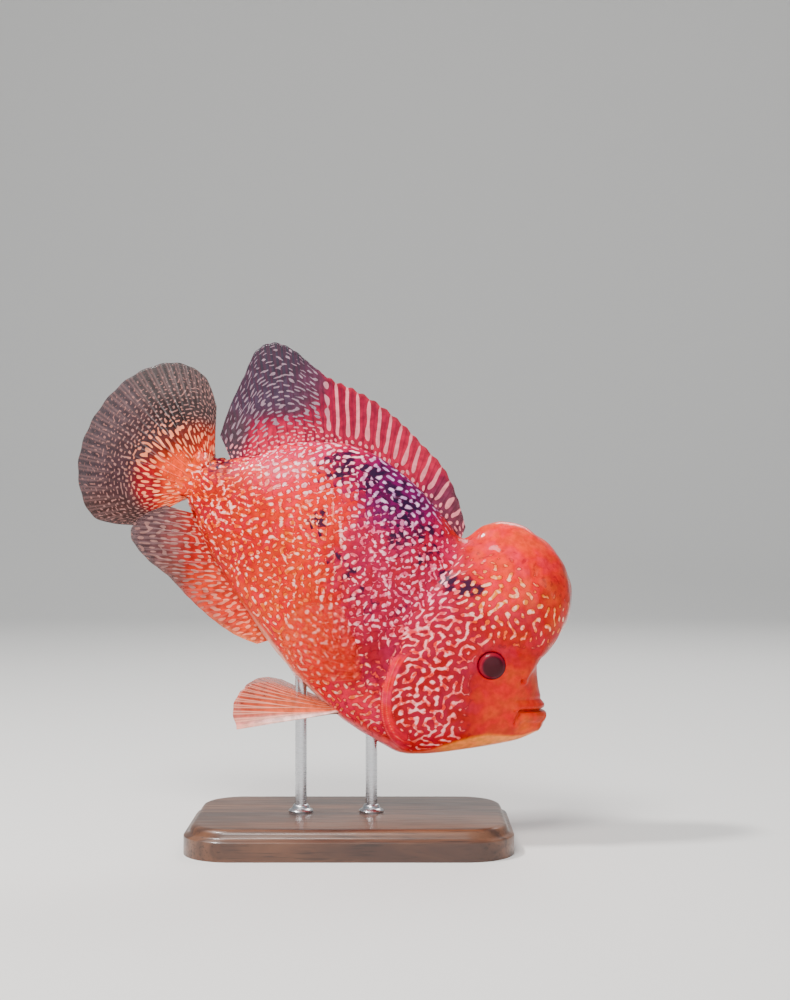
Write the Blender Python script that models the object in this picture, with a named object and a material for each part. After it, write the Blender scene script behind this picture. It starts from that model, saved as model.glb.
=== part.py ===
"""A flowerhorn cichlid, 170 mm from lips to tail base, as a still life-size model on a display stand.

The fish is laid out in its own lengths, in millimetres: s runs forward from the tail base to the
lips, h runs up from the body's axis, and y runs to the fish's left. Each cross-section of the body
stands between a point of the back and a point of the belly, and the sections fan out over the head,
so that the last ones close round the lips. The whole fish is then bent at the tail, pitched head
down and set over the stand.
"""

import math

import bmesh
import bpy
import numpy as np
from mathutils import Vector
from mathutils.bvhtree import BVHTree

MM = 0.001
GAP = 0.3

# Pose
PITCH = math.radians(34.8)
TAIL_TURN = math.radians(17)
BEND_FROM = 78.0
BEND_TO = -12.0
TAIL_BASE_X = -60.0
TAIL_BASE_Z = 149.0

# Cross-sections from the tail stalk to the lips: where each meets the back and the belly (s, h),
# its half width, and how square it is. Over the head a second, narrower oval adds the hump.
BACK = [(-3, 9.2), (0, 10.8), (9.6, 18.7), (20.1, 32.2), (34.8, 43.4), (47.8, 48.2), (60, 49.2),
        (75.8, 47.6), (90.7, 43.6), (101, 41.4), (105, 50.5), (113, 57.6), (125, 60), (138, 57.8),
        (149, 50.2), (155.6, 39), (156.4, 27), (155.2, 17.5), (160.2, 10.2), (165.5, 5), (169.1, 1.3)]
BELLY = [(-3, -11), (0, -12.4), (9.6, -17.8), (20.1, -24.3), (34.8, -30.6), (47.8, -35.8), (60, -40.2),
         (74, -44.4), (89, -47.2), (101, -48.7), (106.5, -48.7), (112, -48.4), (117.5, -48),
         (123.5, -47.5), (129.8, -46.4), (137, -42), (145.5, -34.5), (153.5, -27.2), (160.5, -20.6),
         (166.8, -14), (171.2, -7.2)]
HALF_WIDTH = [2.3, 3.8, 6.6, 10.2, 14.2, 17.0, 19.0, 20.6, 21.3, 21.6, 21.8, 21.8, 21.4, 20.7, 19.7, 18.4,
              17.1, 15.7, 12.9, 9.6, 6]
SQUARENESS = [2.15, 2.15, 2.15, 2.15, 2.15, 2.15, 2.15, 2.15, 2.15, 2.15, 2.15, 2.15, 2.15, 2.2, 2.3, 2.4,
              2.5, 2.5, 2.4, 2.2, 2.1]
HUMP_HALF_WIDTH = [0, 0, 0, 0, 0, 0, 0, 0, 0, 0.5, 8.5, 14, 17.2, 18.3, 17.8, 15.8, 12.8, 9.6, 6, 3, 0]
SKULL_SHARE = [1, 1, 1, 1, 1, 1, 1, 1, 1, 1, 0.93, 0.88, 0.84, 0.80, 0.77, 0.77, 0.84, 0.96, 1, 1, 1]
HUMP_FOOT = 0.47
WIDEST_LOW = 0.9
LIPS_END = (171.6, 0, -2.2)

# Where the body is parted, as section numbers, with the step that leaves the gap.
STALK_CUT, STALK_STEP = 3.15, 0.027
NECK_CUT, NECK_STEP = 8.95, 0.028
SIDES = 40

# Head
HUMP_LINE = ((103.2, 43.6), (156.6, 17.6))
EYE = (138.6, 5.5)
EYE_RADIUS = 8.0
EYE_DEPTH = 6.0
ORBIT_RADIUS, ORBIT_WIDTH, ORBIT_OUT = 6.0, 2.8, 0.7
NOSTRIL = (153.2, 7.4)
NOSTRIL_RADIUS = 0.9
MOUTH_FRONT = (168.3, 2.2)
MOUTH_CORNER = (159.4, -3.2)
JAW_REAR = (147.6, -33.2)
LIP_OUT, LIP_WIDTH = 1.2, 1.9
COVER_CENTRE = (120.2, -20.5)
COVER_LENGTH, COVER_HEIGHT = 13.5, 24.5
COVER_LEAN = math.radians(24)
COVER_OUT, COVER_EDGE, COVER_DEEP = 1.1, 0.25, 1.6
COVER_FLARE = 0.12
COVER_SPOKES, COVER_CIRCLES = 28, 5

# Fins: roots on the back or belly (s), and outer edges (s, h), from the front ray to the last.
SPINY_ROOT = [100.4, 90, 80, 70, 60, 51, 42.5, 34.8]
SPINY_EDGE = [(99.4, 45.4), (90.2, 53.2), (78.2, 60.4), (65, 63.4), (53, 65.8), (41, 66.8), (29, 66),
              (18.5, 64.2)]
SOFT_ROOT = [34.2, 29, 24, 19.5, 15, 10.5, 6.5, 3]
SOFT_EDGE = [(17.6, 64.1), (8, 64.4), (-2.5, 65.3), (-11.5, 63.2), (-15.6, 56), (-13, 44.5), (-10, 31),
             (-6, 18.5)]
ANAL_ROOT = [59, 51.5, 44, 36.5, 29, 21.5, 14.5, 8.5, 3.5]
ANAL_EDGE = [(56.2, -43.4), (46.5, -45.6), (35, -45.8), (22, -44.3), (9.5, -41.9), (-2.5, -41.2),
             (-13.5, -37.6), (-15, -29.5), (-8.5, -18.5)]
TAIL_ROOT_S = -3.3
TAIL_ROOT_H = [9.6, 4.6, -0.9, -6.4, -11.4]
TAIL_EDGE = [(-15.5, 27.5), (-29.5, 35.2), (-45.5, 31.5), (-56.5, 15), (-58, -8), (-50.5, -28.5),
             (-34, -40.5), (-15.5, -33)]
PECTORAL_ROOT = [(90.6, -19.2), (93.4, -22.4), (96, -25.8), (98.2, -29.4)]
PECTORAL_EDGE = [(76, -8), (66.5, -12.5), (61.8, -21), (62.5, -30), (69, -39), (79.5, -45)]
PECTORAL_OUT = 0.8
PECTORAL_FLARE, PECTORAL_FLARE_STEP = 19.0, 1.2
PELVIC_ROOT = [(99.6, 7.4), (97.6, 6.3), (95.6, 5.2), (93.6, 4.2)]
PELVIC_DROP = 0.9
PELVIC_EDGE = [(69.5, -74.5), (63.5, -69), (62, -61.5), (66, -54.5), (73, -50.6)]
PELVIC_SPREAD, PELVIC_SPREAD_STEP = 16.0, 1.7

# Each fin's rays and rows of facets, the thickness of a ray and of the membrane at the root, how
# far the membrane falls short between rays, and its sideways wave and arch.
FINS = {
    "dorsal_fin_spiny": dict(rays=16, rows=5, ridge=1.7, web=0.7, notch=0.09, wave=1.2, waves=2),
    "dorsal_fin_soft": dict(rays=11, rows=8, ridge=1.3, web=0.6, notch=0.05, wave=2.0, waves=1.5),
    "anal_fin": dict(rays=15, rows=6, ridge=1.3, web=0.6, notch=0.05, wave=1.8, waves=1.5),
    "tail_fin": dict(rays=17, rows=7, ridge=1.5, web=0.6, notch=0.04, wave=2.4, waves=2.5),
    "pectoral_fin": dict(rays=11, rows=6, ridge=1.1, web=0.55, notch=0.05, arch=1.5),
    "pelvic_fin": dict(rays=7, rows=6, ridge=1.3, web=0.6, notch=0.05, arch=1.0),
}
RAY_TAPER, WEB_TAPER = 0.6, 0.15

# Stand
BASE_LENGTH, BASE_WIDTH, BASE_THICK, BASE_CORNER = 132.0, 84.0, 12.0, 20.0
BASE_EDGE = 1.6
CORNER_STEPS = 8
ROD_RADIUS = 2.4
ROD_SINK = 6.0
ROD_SIDES = 20
FRONT_ROD_S, REAR_ROD_S = 117.0, 80.0

# Beyond the body on every side, for rays that are cast at it and cutters that pass through it.
OUTSIDE = 90.0


def along(values, t):
    """The smooth curve through values, read at section numbers t (a Catmull-Rom spline)."""
    values = np.asarray(values, float).reshape(len(values), -1)
    t = np.clip(np.atleast_1d(np.asarray(t, float)), 0, len(values) - 1)
    i = np.minimum(t.astype(int), len(values) - 2)
    f = (t - i)[:, None]
    before, start = values[np.maximum(i - 1, 0)], values[i]
    end, after = values[i + 1], values[np.minimum(i + 2, len(values) - 1)]
    return 0.5 * (2 * start + (end - before) * f + (2 * before - 5 * start + 4 * end - after) * f**2
                  + (3 * start - before - 3 * end + after) * f**3)


def bump(x, centre, width):
    """1 at the centre, falling to 0 over about two widths."""
    return np.exp(-(((x - centre) / width) ** 2))


def placed(points):
    """Fish lengths (s, y, h) in millimetres to the posed fish, in metres."""
    p = np.asarray(points, float).reshape(-1, 3)
    length = BEND_FROM - BEND_TO
    back = np.clip(BEND_FROM - p[:, 0], 0, length)
    beyond = np.minimum(p[:, 0] - BEND_TO, 0)
    turn = TAIL_TURN * (back / length) ** 2
    # The spine's own shift, lengthwise and sideways, for a turn that grows with the square of the way back.
    ahead = np.maximum(p[:, 0], BEND_FROM) - back + TAIL_TURN**2 * back**5 / (10 * length**4)
    side = TAIL_TURN * back**3 / (3 * length**2)
    s = ahead + beyond * np.cos(turn) + p[:, 1] * np.sin(turn)
    y = side - beyond * np.sin(turn) + p[:, 1] * np.cos(turn)
    x = TAIL_BASE_X + s * math.cos(PITCH) + p[:, 2] * math.sin(PITCH)
    z = TAIL_BASE_Z - s * math.sin(PITCH) + p[:, 2] * math.cos(PITCH)
    return np.stack([x, y, z], 1) * MM


def place(s, y, h):
    return Vector(placed([(s, y, h)])[0])


def half_section(t, theta):
    """Points of the left flank, one row for each section t and one column for each angle from the back."""
    back, belly = along(BACK, t), along(BELLY, t)
    up = 0.5 + 0.5 * np.cos(theta)[None, :]
    skull = np.clip(along(SKULL_SHARE, t), 0.5, 1)
    body = np.clip(up / skull, 0, 1) ** WIDEST_LOW * 2 - 1
    power = along(SQUARENESS, t)
    body_y = np.clip(along(HALF_WIDTH, t), 0, None) * (1 - np.abs(body) ** power) ** (1 / power)
    hump = np.clip((up - HUMP_FOOT) / (1 - HUMP_FOOT), 0, 1) * 2 - 1
    hump_y = np.clip(along(HUMP_HALF_WIDTH, t), 0, None) * np.sqrt(1 - hump**2)
    y = (body_y**4 + hump_y**4) ** 0.25
    s = belly[:, :1] + (back - belly)[:, :1] * up
    h = belly[:, 1:] + (back - belly)[:, 1:] * up
    return np.stack([s, y, h], 2)


def face_relief(s, h):
    """How far the lips and the orbit's rim stand out from the plain body."""
    along_s, along_h = MOUTH_CORNER[0] - MOUTH_FRONT[0], MOUTH_CORNER[1] - MOUTH_FRONT[1]
    length = math.hypot(along_s, along_h)
    off = ((s - MOUTH_FRONT[0]) * along_h - (h - MOUTH_FRONT[1]) * along_s) / length
    share = ((s - MOUTH_FRONT[0]) * along_s + (h - MOUTH_FRONT[1]) * along_h) / length**2
    lips = LIP_OUT * (bump(off, LIP_WIDTH, LIP_WIDTH) + bump(off, -LIP_WIDTH, LIP_WIDTH))
    lips = lips * np.clip(1.25 - share, 0, 1) * np.clip(1.2 + share, 0, 1)
    around = np.hypot(s - EYE[0], h - EYE[1])
    return lips + ORBIT_OUT * bump(around, ORBIT_RADIUS, ORBIT_WIDTH)


def body_rings(t):
    """Closed rings of the body in fish lengths, left flank first, from the back down and up again."""
    left = half_section(t, np.linspace(0, math.pi, SIDES // 2 + 1))
    rings = np.concatenate([left, left[:, -2:0:-1] * [1, -1, 1]], 1)
    closed = np.concatenate([rings[:, -1:], rings, rings[:, :1]], 1)
    normal = np.cross(np.gradient(rings, axis=0), closed[:, 2:] - closed[:, :-2])
    normal /= np.maximum(np.linalg.norm(normal, axis=2, keepdims=True), 1e-9)
    return rings + normal * face_relief(rings[:, :, 0], rings[:, :, 2])[:, :, None]


def tube_mesh(rings, front_point=None):
    """A closed mesh from rings: a flat cap at the rear, and a cap or a point at the front."""
    count, sides, _ = rings.shape
    mesh = bmesh.new()
    verts = [mesh.verts.new(p) for p in placed(rings.reshape(-1, 3))]
    rows = [verts[i * sides:(i + 1) * sides] for i in range(count)]
    for rear, front in zip(rows, rows[1:]):
        for j in range(sides):
            k = (j + 1) % sides
            mesh.faces.new([rear[j], front[j], front[k], rear[k]])
    mesh.faces.new(rows[0])
    if front_point is None:
        mesh.faces.new(rows[-1][::-1])
    else:
        tip = mesh.verts.new(place(*front_point))
        for j in range(sides):
            mesh.faces.new([rows[-1][(j + 1) % sides], rows[-1][j], tip])
    bmesh.ops.recalc_face_normals(mesh, faces=mesh.faces)
    return mesh


def material(name, colour, roughness, metallic=0.0):
    made = bpy.data.materials.new(name)
    made.use_nodes = True
    shader = made.node_tree.nodes["Principled BSDF"]
    shader.inputs["Base Color"].default_value = (*colour, 1)
    shader.inputs["Roughness"].default_value = roughness
    shader.inputs["Metallic"].default_value = metallic
    return made


def shade(target):
    """Smooth shading, but for the sharp edges."""
    target.data.shade_smooth()
    target.data.set_sharp_from_angle(angle=math.radians(40))


def add_object(name, mesh, finish=None):
    """A named object from a bmesh, in triangles."""
    bmesh.ops.triangulate(mesh, faces=mesh.faces)
    data = bpy.data.meshes.new(name)
    mesh.to_mesh(data)
    mesh.free()
    made = bpy.data.objects.new(name, data)
    bpy.context.scene.collection.objects.link(made)
    shade(made)
    if finish:
        data.materials.append(finish)
    return made


def subtract(target, cutters):
    """Cuts the closed cutter objects out of the target with one Boolean, and removes them."""
    group = bpy.data.collections.new(target.name + "_cutters")
    for cutter in cutters:
        bpy.context.scene.collection.objects.unlink(cutter)
        group.objects.link(cutter)
    bpy.context.scene.collection.children.link(group)
    cut = target.modifiers.new("cut", "BOOLEAN")
    cut.operation = "DIFFERENCE"
    cut.operand_type = "COLLECTION"
    cut.collection = group
    cut.solver = "EXACT"
    graph = bpy.context.evaluated_depsgraph_get()
    result = bpy.data.meshes.new_from_object(target.evaluated_get(graph))
    target.modifiers.clear()
    target.data = result
    for cutter in cutters:
        bpy.data.objects.remove(cutter)
    bpy.data.collections.remove(group)
    keep_largest(target)
    shade(target)


def keep_largest(target):
    """Keeps only the largest closed surface of an object's mesh."""
    mesh = bmesh.new()
    mesh.from_mesh(target.data)
    bmesh.ops.dissolve_degenerate(mesh, dist=1e-6, edges=mesh.edges)
    bmesh.ops.triangulate(mesh, faces=mesh.faces)
    left, shells = set(mesh.verts), []
    while left:
        stack, shell = [left.pop()], set()
        while stack:
            vert = stack.pop()
            shell.add(vert)
            for edge in vert.link_edges:
                other = edge.other_vert(vert)
                if other in left:
                    left.discard(other)
                    stack.append(other)
        shells.append(shell)
    largest = max(shells, key=len)
    bmesh.ops.delete(mesh, geom=[v for v in mesh.verts if v not in largest], context="VERTS")
    mesh.to_mesh(target.data)
    mesh.free()


def kept_side(mesh, line, upper, shift=0.0):
    """A copy of a closed mesh cut at a plane, with the cut closed, keeping its upper or lower side.

    The plane is square to the fish's middle plane, through a line of two (s, h) points, moved up by shift.
    """
    start, end = (place(s, 0, h) for s, h in line)
    normal = (end - start).cross(Vector((0, 1, 0))).normalized()
    if normal.z < 0:
        normal.negate()
    part = mesh.copy()
    geometry = part.verts[:] + part.edges[:] + part.faces[:]
    bmesh.ops.bisect_plane(part, geom=geometry, dist=1e-7, plane_co=start + normal * shift * MM,
                           plane_no=normal, clear_inner=upper, clear_outer=not upper)
    rim = [edge for edge in part.edges if edge.is_boundary]
    bmesh.ops.edgenet_fill(part, edges=rim)
    bmesh.ops.recalc_face_normals(part, faces=part.faces)
    return part


def jaw_space():
    """The cutter that clears the head for the lower jaw: a wedge a gap larger than the jaw's own corner."""
    front, corner, rear = (np.array(p) for p in (MOUTH_FRONT, MOUTH_CORNER, JAW_REAR))
    mouth = (front - corner) / np.linalg.norm(front - corner)
    throat = (rear - corner) / np.linalg.norm(rear - corner)
    # The corner moves back by this much along each edge, which sets both edges off by the gap.
    back_off = GAP / abs(mouth[0] * throat[1] - mouth[1] * throat[0])
    tip = corner - (mouth + throat) * back_off
    ahead, below = mouth * OUTSIDE, throat * OUTSIDE
    mesh = bmesh.new()
    outline = (tip, tip + below, tip + below + ahead, tip + ahead)
    right = [mesh.verts.new(place(s, -OUTSIDE, h)) for s, h in outline]
    left = [mesh.verts.new(place(s, OUTSIDE, h)) for s, h in outline]
    mesh.faces.new(right)
    mesh.faces.new(left[::-1])
    for j in range(4):
        k = (j + 1) % 4
        mesh.faces.new([right[j], left[j], left[k], right[k]])
    bmesh.ops.recalc_face_normals(mesh, faces=mesh.faces)
    return add_object("jaw_space", mesh)


def ball(centre, radius, name, finish=None, segments=18, rings=12):
    mesh = bmesh.new()
    bmesh.ops.create_uvsphere(mesh, u_segments=segments, v_segments=rings, radius=radius * MM)
    bmesh.ops.translate(mesh, verts=mesh.verts, vec=centre)
    return add_object(name, mesh, finish)


def flank_at(tree, s, h):
    """How far the body's surface stands from the middle plane at (s, h)."""
    start, aim = place(s, OUTSIDE, h), place(s, 0, h)
    hit = tree.ray_cast(start, (aim - start).normalized())[0]
    return OUTSIDE - (hit - start).length / MM


def belly_under(tree, s, y):
    """The h of the body's underside at (s, y)."""
    start, aim = place(s, y, -OUTSIDE), place(s, y, 0)
    hit = tree.ray_cast(start, (aim - start).normalized())[0]
    return (hit - start).length / MM - OUTSIDE


def cover_plate(tree, side, name, finish=None, grow=0.0):
    """The gill cover's plate, a leaning oval let into the cheek; or, grown, the cutter of its seat."""
    mesh = bmesh.new()
    layers = []
    for inner in (False, True):
        rows = []
        for k in range(COVER_CIRCLES + 1):
            share = k / COVER_CIRCLES
            row = []
            for j in range(COVER_SPOKES if k else 1):
                angle = 2 * math.pi * j / COVER_SPOKES
                u = (COVER_LENGTH + grow) * share * math.cos(angle)
                v = (COVER_HEIGHT + grow) * share * math.sin(angle)
                if u < 0:
                    u *= 1 + COVER_FLARE * math.sin(angle)
                s = COVER_CENTRE[0] + u * math.cos(COVER_LEAN) - v * math.sin(COVER_LEAN)
                h = COVER_CENTRE[1] + u * math.sin(COVER_LEAN) + v * math.cos(COVER_LEAN)
                y = flank_at(tree, s, h)
                if inner:
                    y -= COVER_DEEP + grow
                elif grow:
                    y += COVER_LENGTH / 2
                else:
                    y += COVER_OUT * (1 - share**4) + COVER_EDGE
                row.append(mesh.verts.new(place(s, side * y, h)))
            rows.append(row)
        layers.append(rows)
    for rows in layers:
        for j in range(COVER_SPOKES):
            mesh.faces.new([rows[0][0], rows[1][j], rows[1][(j + 1) % COVER_SPOKES]])
        for inner_row, outer_row in zip(rows[1:], rows[2:]):
            for j in range(COVER_SPOKES):
                k = (j + 1) % COVER_SPOKES
                mesh.faces.new([inner_row[j], outer_row[j], outer_row[k], inner_row[k]])
    outer_rim, inner_rim = layers[0][-1], layers[1][-1]
    for j in range(COVER_SPOKES):
        k = (j + 1) % COVER_SPOKES
        mesh.faces.new([outer_rim[j], outer_rim[k], inner_rim[k], inner_rim[j]])
    bmesh.ops.recalc_face_normals(mesh, faces=mesh.faces)
    return add_object(name, mesh, finish)


def fin_solid(name, roots, tips, finish, rays, rows, ridge, web, notch, wave=0.0, waves=1.0, arch=0.0):
    """A closed fin: raised rays from root to tip, with thinner membrane between them.

    roots and tips are curves through points in fish lengths. Every second column of points is a ray.
    """
    c = np.linspace(0, 1, 2 * rays - 1)
    v = np.linspace(0, 1, rows + 1)
    root = along(roots, c * (len(roots) - 1))
    tip = along(tips, c * (len(tips) - 1))
    is_ray = (np.arange(len(c)) % 2 == 0)[:, None]
    tip = np.where(is_ray, tip, tip + (root - tip) * notch)
    middle = root[:, None] + (tip - root)[:, None] * v[None, :, None]
    middle[:, :, 1] += wave * np.sin(waves * math.pi * c)[:, None] * v**1.5 + arch * np.sin(math.pi * v)
    normal = np.cross(np.gradient(middle, axis=0), np.gradient(middle, axis=1))
    normal /= np.maximum(np.linalg.norm(normal, axis=2, keepdims=True), 1e-9)
    half = np.where(is_ray, ridge * (1 - RAY_TAPER * v), web * (1 - WEB_TAPER * v))[:, :, None] / 2
    mesh = bmesh.new()
    faces = []
    for side in (1, -1):
        points = placed(middle + side * normal * half)
        faces.append([mesh.verts.new(p) for p in points])
    at = np.arange(len(c) * (rows + 1)).reshape(len(c), rows + 1)
    for i in range(len(c) - 1):
        for j in range(rows):
            near, far, far_up, near_up = at[i, j], at[i + 1, j], at[i + 1, j + 1], at[i, j + 1]
            for verts in faces:
                mesh.faces.new([verts[near], verts[far], verts[far_up]])
                mesh.faces.new([verts[near], verts[far_up], verts[near_up]])
    rim = [*at[:, 0], *at[-1, 1:], *at[-2::-1, -1], *at[0, -2:0:-1]]
    left, right = faces
    for j, a in enumerate(rim):
        b = rim[(j + 1) % len(rim)]
        mesh.faces.new([left[a], left[b], right[b]])
        mesh.faces.new([left[a], right[b], right[a]])
    bmesh.ops.recalc_face_normals(mesh, faces=mesh.faces)
    return add_object(name, mesh, finish)


def edge_line(points):
    """Points (s, h) of the middle plane, as fish lengths."""
    return [(s, 0, h) for s, h in points]


def root_line(stations, line, sign):
    """Root points a gap off the back (sign 1) or the belly (sign -1)."""
    curve = along(line, np.linspace(0, NECK_CUT, 400))
    return [(s, 0, np.interp(s, curve[:, 0], curve[:, 1]) + sign * GAP) for s in stations]


def stand_base(finish):
    """A flat board with round corners and a small chamfer on its top edge."""
    outline = []
    for x, y, start in ((1, 1, 0), (-1, 1, 90), (-1, -1, 180), (1, -1, 270)):
        for k in range(CORNER_STEPS + 1):
            angle = math.radians(start + 90 * k / CORNER_STEPS)
            outline.append((x * (BASE_LENGTH / 2 - BASE_CORNER) + BASE_CORNER * math.cos(angle),
                            y * (BASE_WIDTH / 2 - BASE_CORNER) + BASE_CORNER * math.sin(angle)))
    mesh = bmesh.new()
    rows = []
    for height, inset in ((0, 0), (BASE_THICK - BASE_EDGE, 0), (BASE_THICK, BASE_EDGE)):
        shrink_x, shrink_y = 1 - 2 * inset / BASE_LENGTH, 1 - 2 * inset / BASE_WIDTH
        rows.append([mesh.verts.new((x * shrink_x * MM, y * shrink_y * MM, height * MM)) for x, y in outline])
    for low, high in zip(rows, rows[1:]):
        for j in range(len(outline)):
            k = (j + 1) % len(outline)
            mesh.faces.new([low[j], low[k], high[k], high[j]])
    mesh.faces.new(rows[0][::-1])
    mesh.faces.new(rows[-1])
    bmesh.ops.recalc_face_normals(mesh, faces=mesh.faces)
    return add_object("stand_base", mesh, finish)


def upright_cylinder(x, bottom, top, radius, name, finish=None):
    mesh = bmesh.new()
    bmesh.ops.create_cone(mesh, cap_ends=True, segments=ROD_SIDES, radius1=radius * MM, radius2=radius * MM,
                          depth=(top - bottom) * MM)
    bmesh.ops.translate(mesh, verts=mesh.verts, vec=(x * MM, 0, (top + bottom) / 2 * MM))
    return add_object(name, mesh, finish)


def stand_rod(name, carried, s, tree, finish):
    """A rod from the base up into a blind hole in the belly of the carried piece."""
    foot = place(s, 0, belly_under(tree, s, 0)) / MM
    top = foot.z + ROD_SINK
    upright_cylinder(foot.x, BASE_THICK + GAP, top, ROD_RADIUS, name, finish)
    subtract(carried, [upright_cylinder(foot.x, 0, top + GAP, ROD_RADIUS + GAP, name + "_hole")])


def build_trunk(skin):
    """The tail stalk and the trunk."""
    add_object("tail_stalk", tube_mesh(body_rings(np.linspace(0, STALK_CUT, 8))), skin)
    rings = body_rings(np.linspace(STALK_CUT + STALK_STEP, NECK_CUT, 16))
    return add_object("trunk", tube_mesh(rings), skin)


def build_head(tree, skin, hump_skin, iris):
    """The head, forehead hump, lower jaw, gill covers and eyes."""
    t = np.concatenate([np.linspace(NECK_CUT + NECK_STEP, 17, 22), np.linspace(17.25, 20, 12)])
    whole = tube_mesh(body_rings(t), LIPS_END)
    add_object("nuchal_hump", kept_side(whole, HUMP_LINE, True, GAP / 2), hump_skin)
    face = kept_side(whole, HUMP_LINE, False, -GAP / 2)
    under_mouth = kept_side(face, (MOUTH_FRONT, MOUTH_CORNER), False)
    add_object("lower_jaw", kept_side(under_mouth, (MOUTH_CORNER, JAW_REAR), False), skin)
    whole.free()
    under_mouth.free()
    head = add_object("head", face, skin)
    cutters = [jaw_space()]
    for side, word in ((1, "left"), (-1, "right")):
        centre = place(EYE[0], side * (flank_at(tree, *EYE) - EYE_DEPTH), EYE[1])
        ball(centre, EYE_RADIUS, f"eye_{word}", iris)
        cutters.append(ball(centre, EYE_RADIUS + GAP, f"socket_{word}"))
        nostril = place(NOSTRIL[0], side * flank_at(tree, *NOSTRIL), NOSTRIL[1])
        cutters.append(ball(nostril, NOSTRIL_RADIUS, f"nostril_{word}", segments=8, rings=6))
        cover_plate(tree, side, f"gill_cover_{word}", skin)
        cutters.append(cover_plate(tree, side, f"gill_seat_{word}", grow=GAP))
    subtract(head, cutters)
    return head


def build_median_fins(fin_skin):
    """The fins on the middle plane: dorsal, anal and tail."""
    shapes = {
        "dorsal_fin_spiny": (root_line(SPINY_ROOT, BACK, 1), SPINY_EDGE),
        "dorsal_fin_soft": (root_line(SOFT_ROOT, BACK, 1), SOFT_EDGE),
        "anal_fin": (root_line(ANAL_ROOT, BELLY, -1), ANAL_EDGE),
        "tail_fin": ([(TAIL_ROOT_S, 0, h) for h in TAIL_ROOT_H], TAIL_EDGE),
    }
    for name, (roots, edge) in shapes.items():
        fin_solid(name, roots, edge_line(edge), fin_skin, **FINS[name])


def build_paired_fins(tree, fin_skin):
    """The pectoral fins, which flare off the flanks, and the pelvic fins, which spread under the belly."""
    for side, word in ((1, "left"), (-1, "right")):
        roots = [(s, side * (flank_at(tree, s, h) + PECTORAL_OUT), h) for s, h in PECTORAL_ROOT]
        tips = []
        for k, (s, h) in enumerate(PECTORAL_EDGE):
            flare = PECTORAL_FLARE - PECTORAL_FLARE_STEP * k
            tips.append((s, side * (flank_at(tree, s, h) + flare), h))
        shape = dict(FINS["pectoral_fin"])
        shape["arch"] *= side
        fin_solid(f"pectoral_fin_{word}", roots, tips, fin_skin, **shape)
        roots = [(s, side * y, belly_under(tree, s, side * y) - PELVIC_DROP) for s, y in PELVIC_ROOT]
        tips = []
        for k, (s, h) in enumerate(PELVIC_EDGE):
            tips.append((s, side * (PELVIC_SPREAD - PELVIC_SPREAD_STEP * k), h))
        shape = dict(FINS["pelvic_fin"])
        shape["arch"] *= side
        fin_solid(f"pelvic_fin_{word}", roots, tips, fin_skin, **shape)


def build():
    for old in list(bpy.data.objects):
        bpy.data.objects.remove(old)
    flank_skin = material("flank_skin", (0.72, 0.10, 0.06), 0.38)
    head_skin = material("head_skin", (0.74, 0.05, 0.05), 0.34)
    hump_skin = material("hump_skin", (0.80, 0.10, 0.03), 0.25)
    iris = material("eye", (0.10, 0.01, 0.02), 0.08)
    fin_skin = material("fin_skin", (0.28, 0.10, 0.16), 0.42)
    clear_fin_skin = material("clear_fin_skin", (0.80, 0.36, 0.28), 0.42)
    wood = material("stand_wood", (0.10, 0.055, 0.035), 0.4)
    steel = material("stand_steel", (0.62, 0.62, 0.64), 0.3, 1.0)

    uncut = tube_mesh(body_rings(np.linspace(0, len(BACK) - 1, 81)), LIPS_END)
    tree = BVHTree.FromBMesh(uncut)
    uncut.free()
    trunk = build_trunk(flank_skin)
    head = build_head(tree, head_skin, hump_skin, iris)
    build_median_fins(fin_skin)
    build_paired_fins(tree, clear_fin_skin)
    stand_base(wood)
    stand_rod("stand_rod_front", head, FRONT_ROD_S, tree, steel)
    stand_rod("stand_rod_rear", trunk, REAR_ROD_S, tree, steel)


build()
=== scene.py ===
import math

import bpy
import numpy as np
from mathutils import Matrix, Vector
from mathutils.bvhtree import BVHTree


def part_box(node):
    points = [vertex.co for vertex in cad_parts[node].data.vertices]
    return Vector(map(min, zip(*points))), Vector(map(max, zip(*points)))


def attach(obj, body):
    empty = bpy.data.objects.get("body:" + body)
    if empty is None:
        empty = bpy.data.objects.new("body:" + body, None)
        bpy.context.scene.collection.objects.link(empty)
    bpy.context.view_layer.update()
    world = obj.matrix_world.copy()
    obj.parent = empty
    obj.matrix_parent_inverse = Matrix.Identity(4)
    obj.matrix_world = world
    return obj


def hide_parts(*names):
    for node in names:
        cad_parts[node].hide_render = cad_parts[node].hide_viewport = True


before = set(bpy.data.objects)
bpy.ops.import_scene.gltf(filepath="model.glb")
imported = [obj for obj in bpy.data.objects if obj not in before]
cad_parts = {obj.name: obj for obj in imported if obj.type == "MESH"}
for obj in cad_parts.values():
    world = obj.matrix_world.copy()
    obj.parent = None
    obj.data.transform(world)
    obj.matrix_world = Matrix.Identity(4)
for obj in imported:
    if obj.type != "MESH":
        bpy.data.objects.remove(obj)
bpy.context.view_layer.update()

# The skin is one unbroken hide from the tail's root to the lips, soft and wet, stretched over flesh.
# It is worked out in the fish's own lengths, in millimetres: s runs forward from the tail base to the
# lips, h up from the body's axis, y to the left. The sections fan out over the head and its hump.
MM = 0.001
PITCH = math.radians(34.8)
TAIL_TURN = math.radians(17)
BEND_FROM, BEND_TO = 78.0, -12.0
TAIL_BASE_X, TAIL_BASE_Z = -60.0, 149.0
BACK = [(-11, 10.4), (-3, 9.2), (0, 10.8), (9.6, 18.7), (20.1, 32.2), (34.8, 43.4), (47.8, 48.2),
        (60, 49.2), (75.8, 47.6), (90.7, 43.6), (101, 41.4), (105, 50.5), (113, 57.6), (125, 60),
        (138, 57.8), (149, 50.2), (155.6, 39), (156.4, 27), (155.2, 17.5), (160.2, 10.2),
        (165.5, 5), (169.1, 1.3)]
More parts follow.
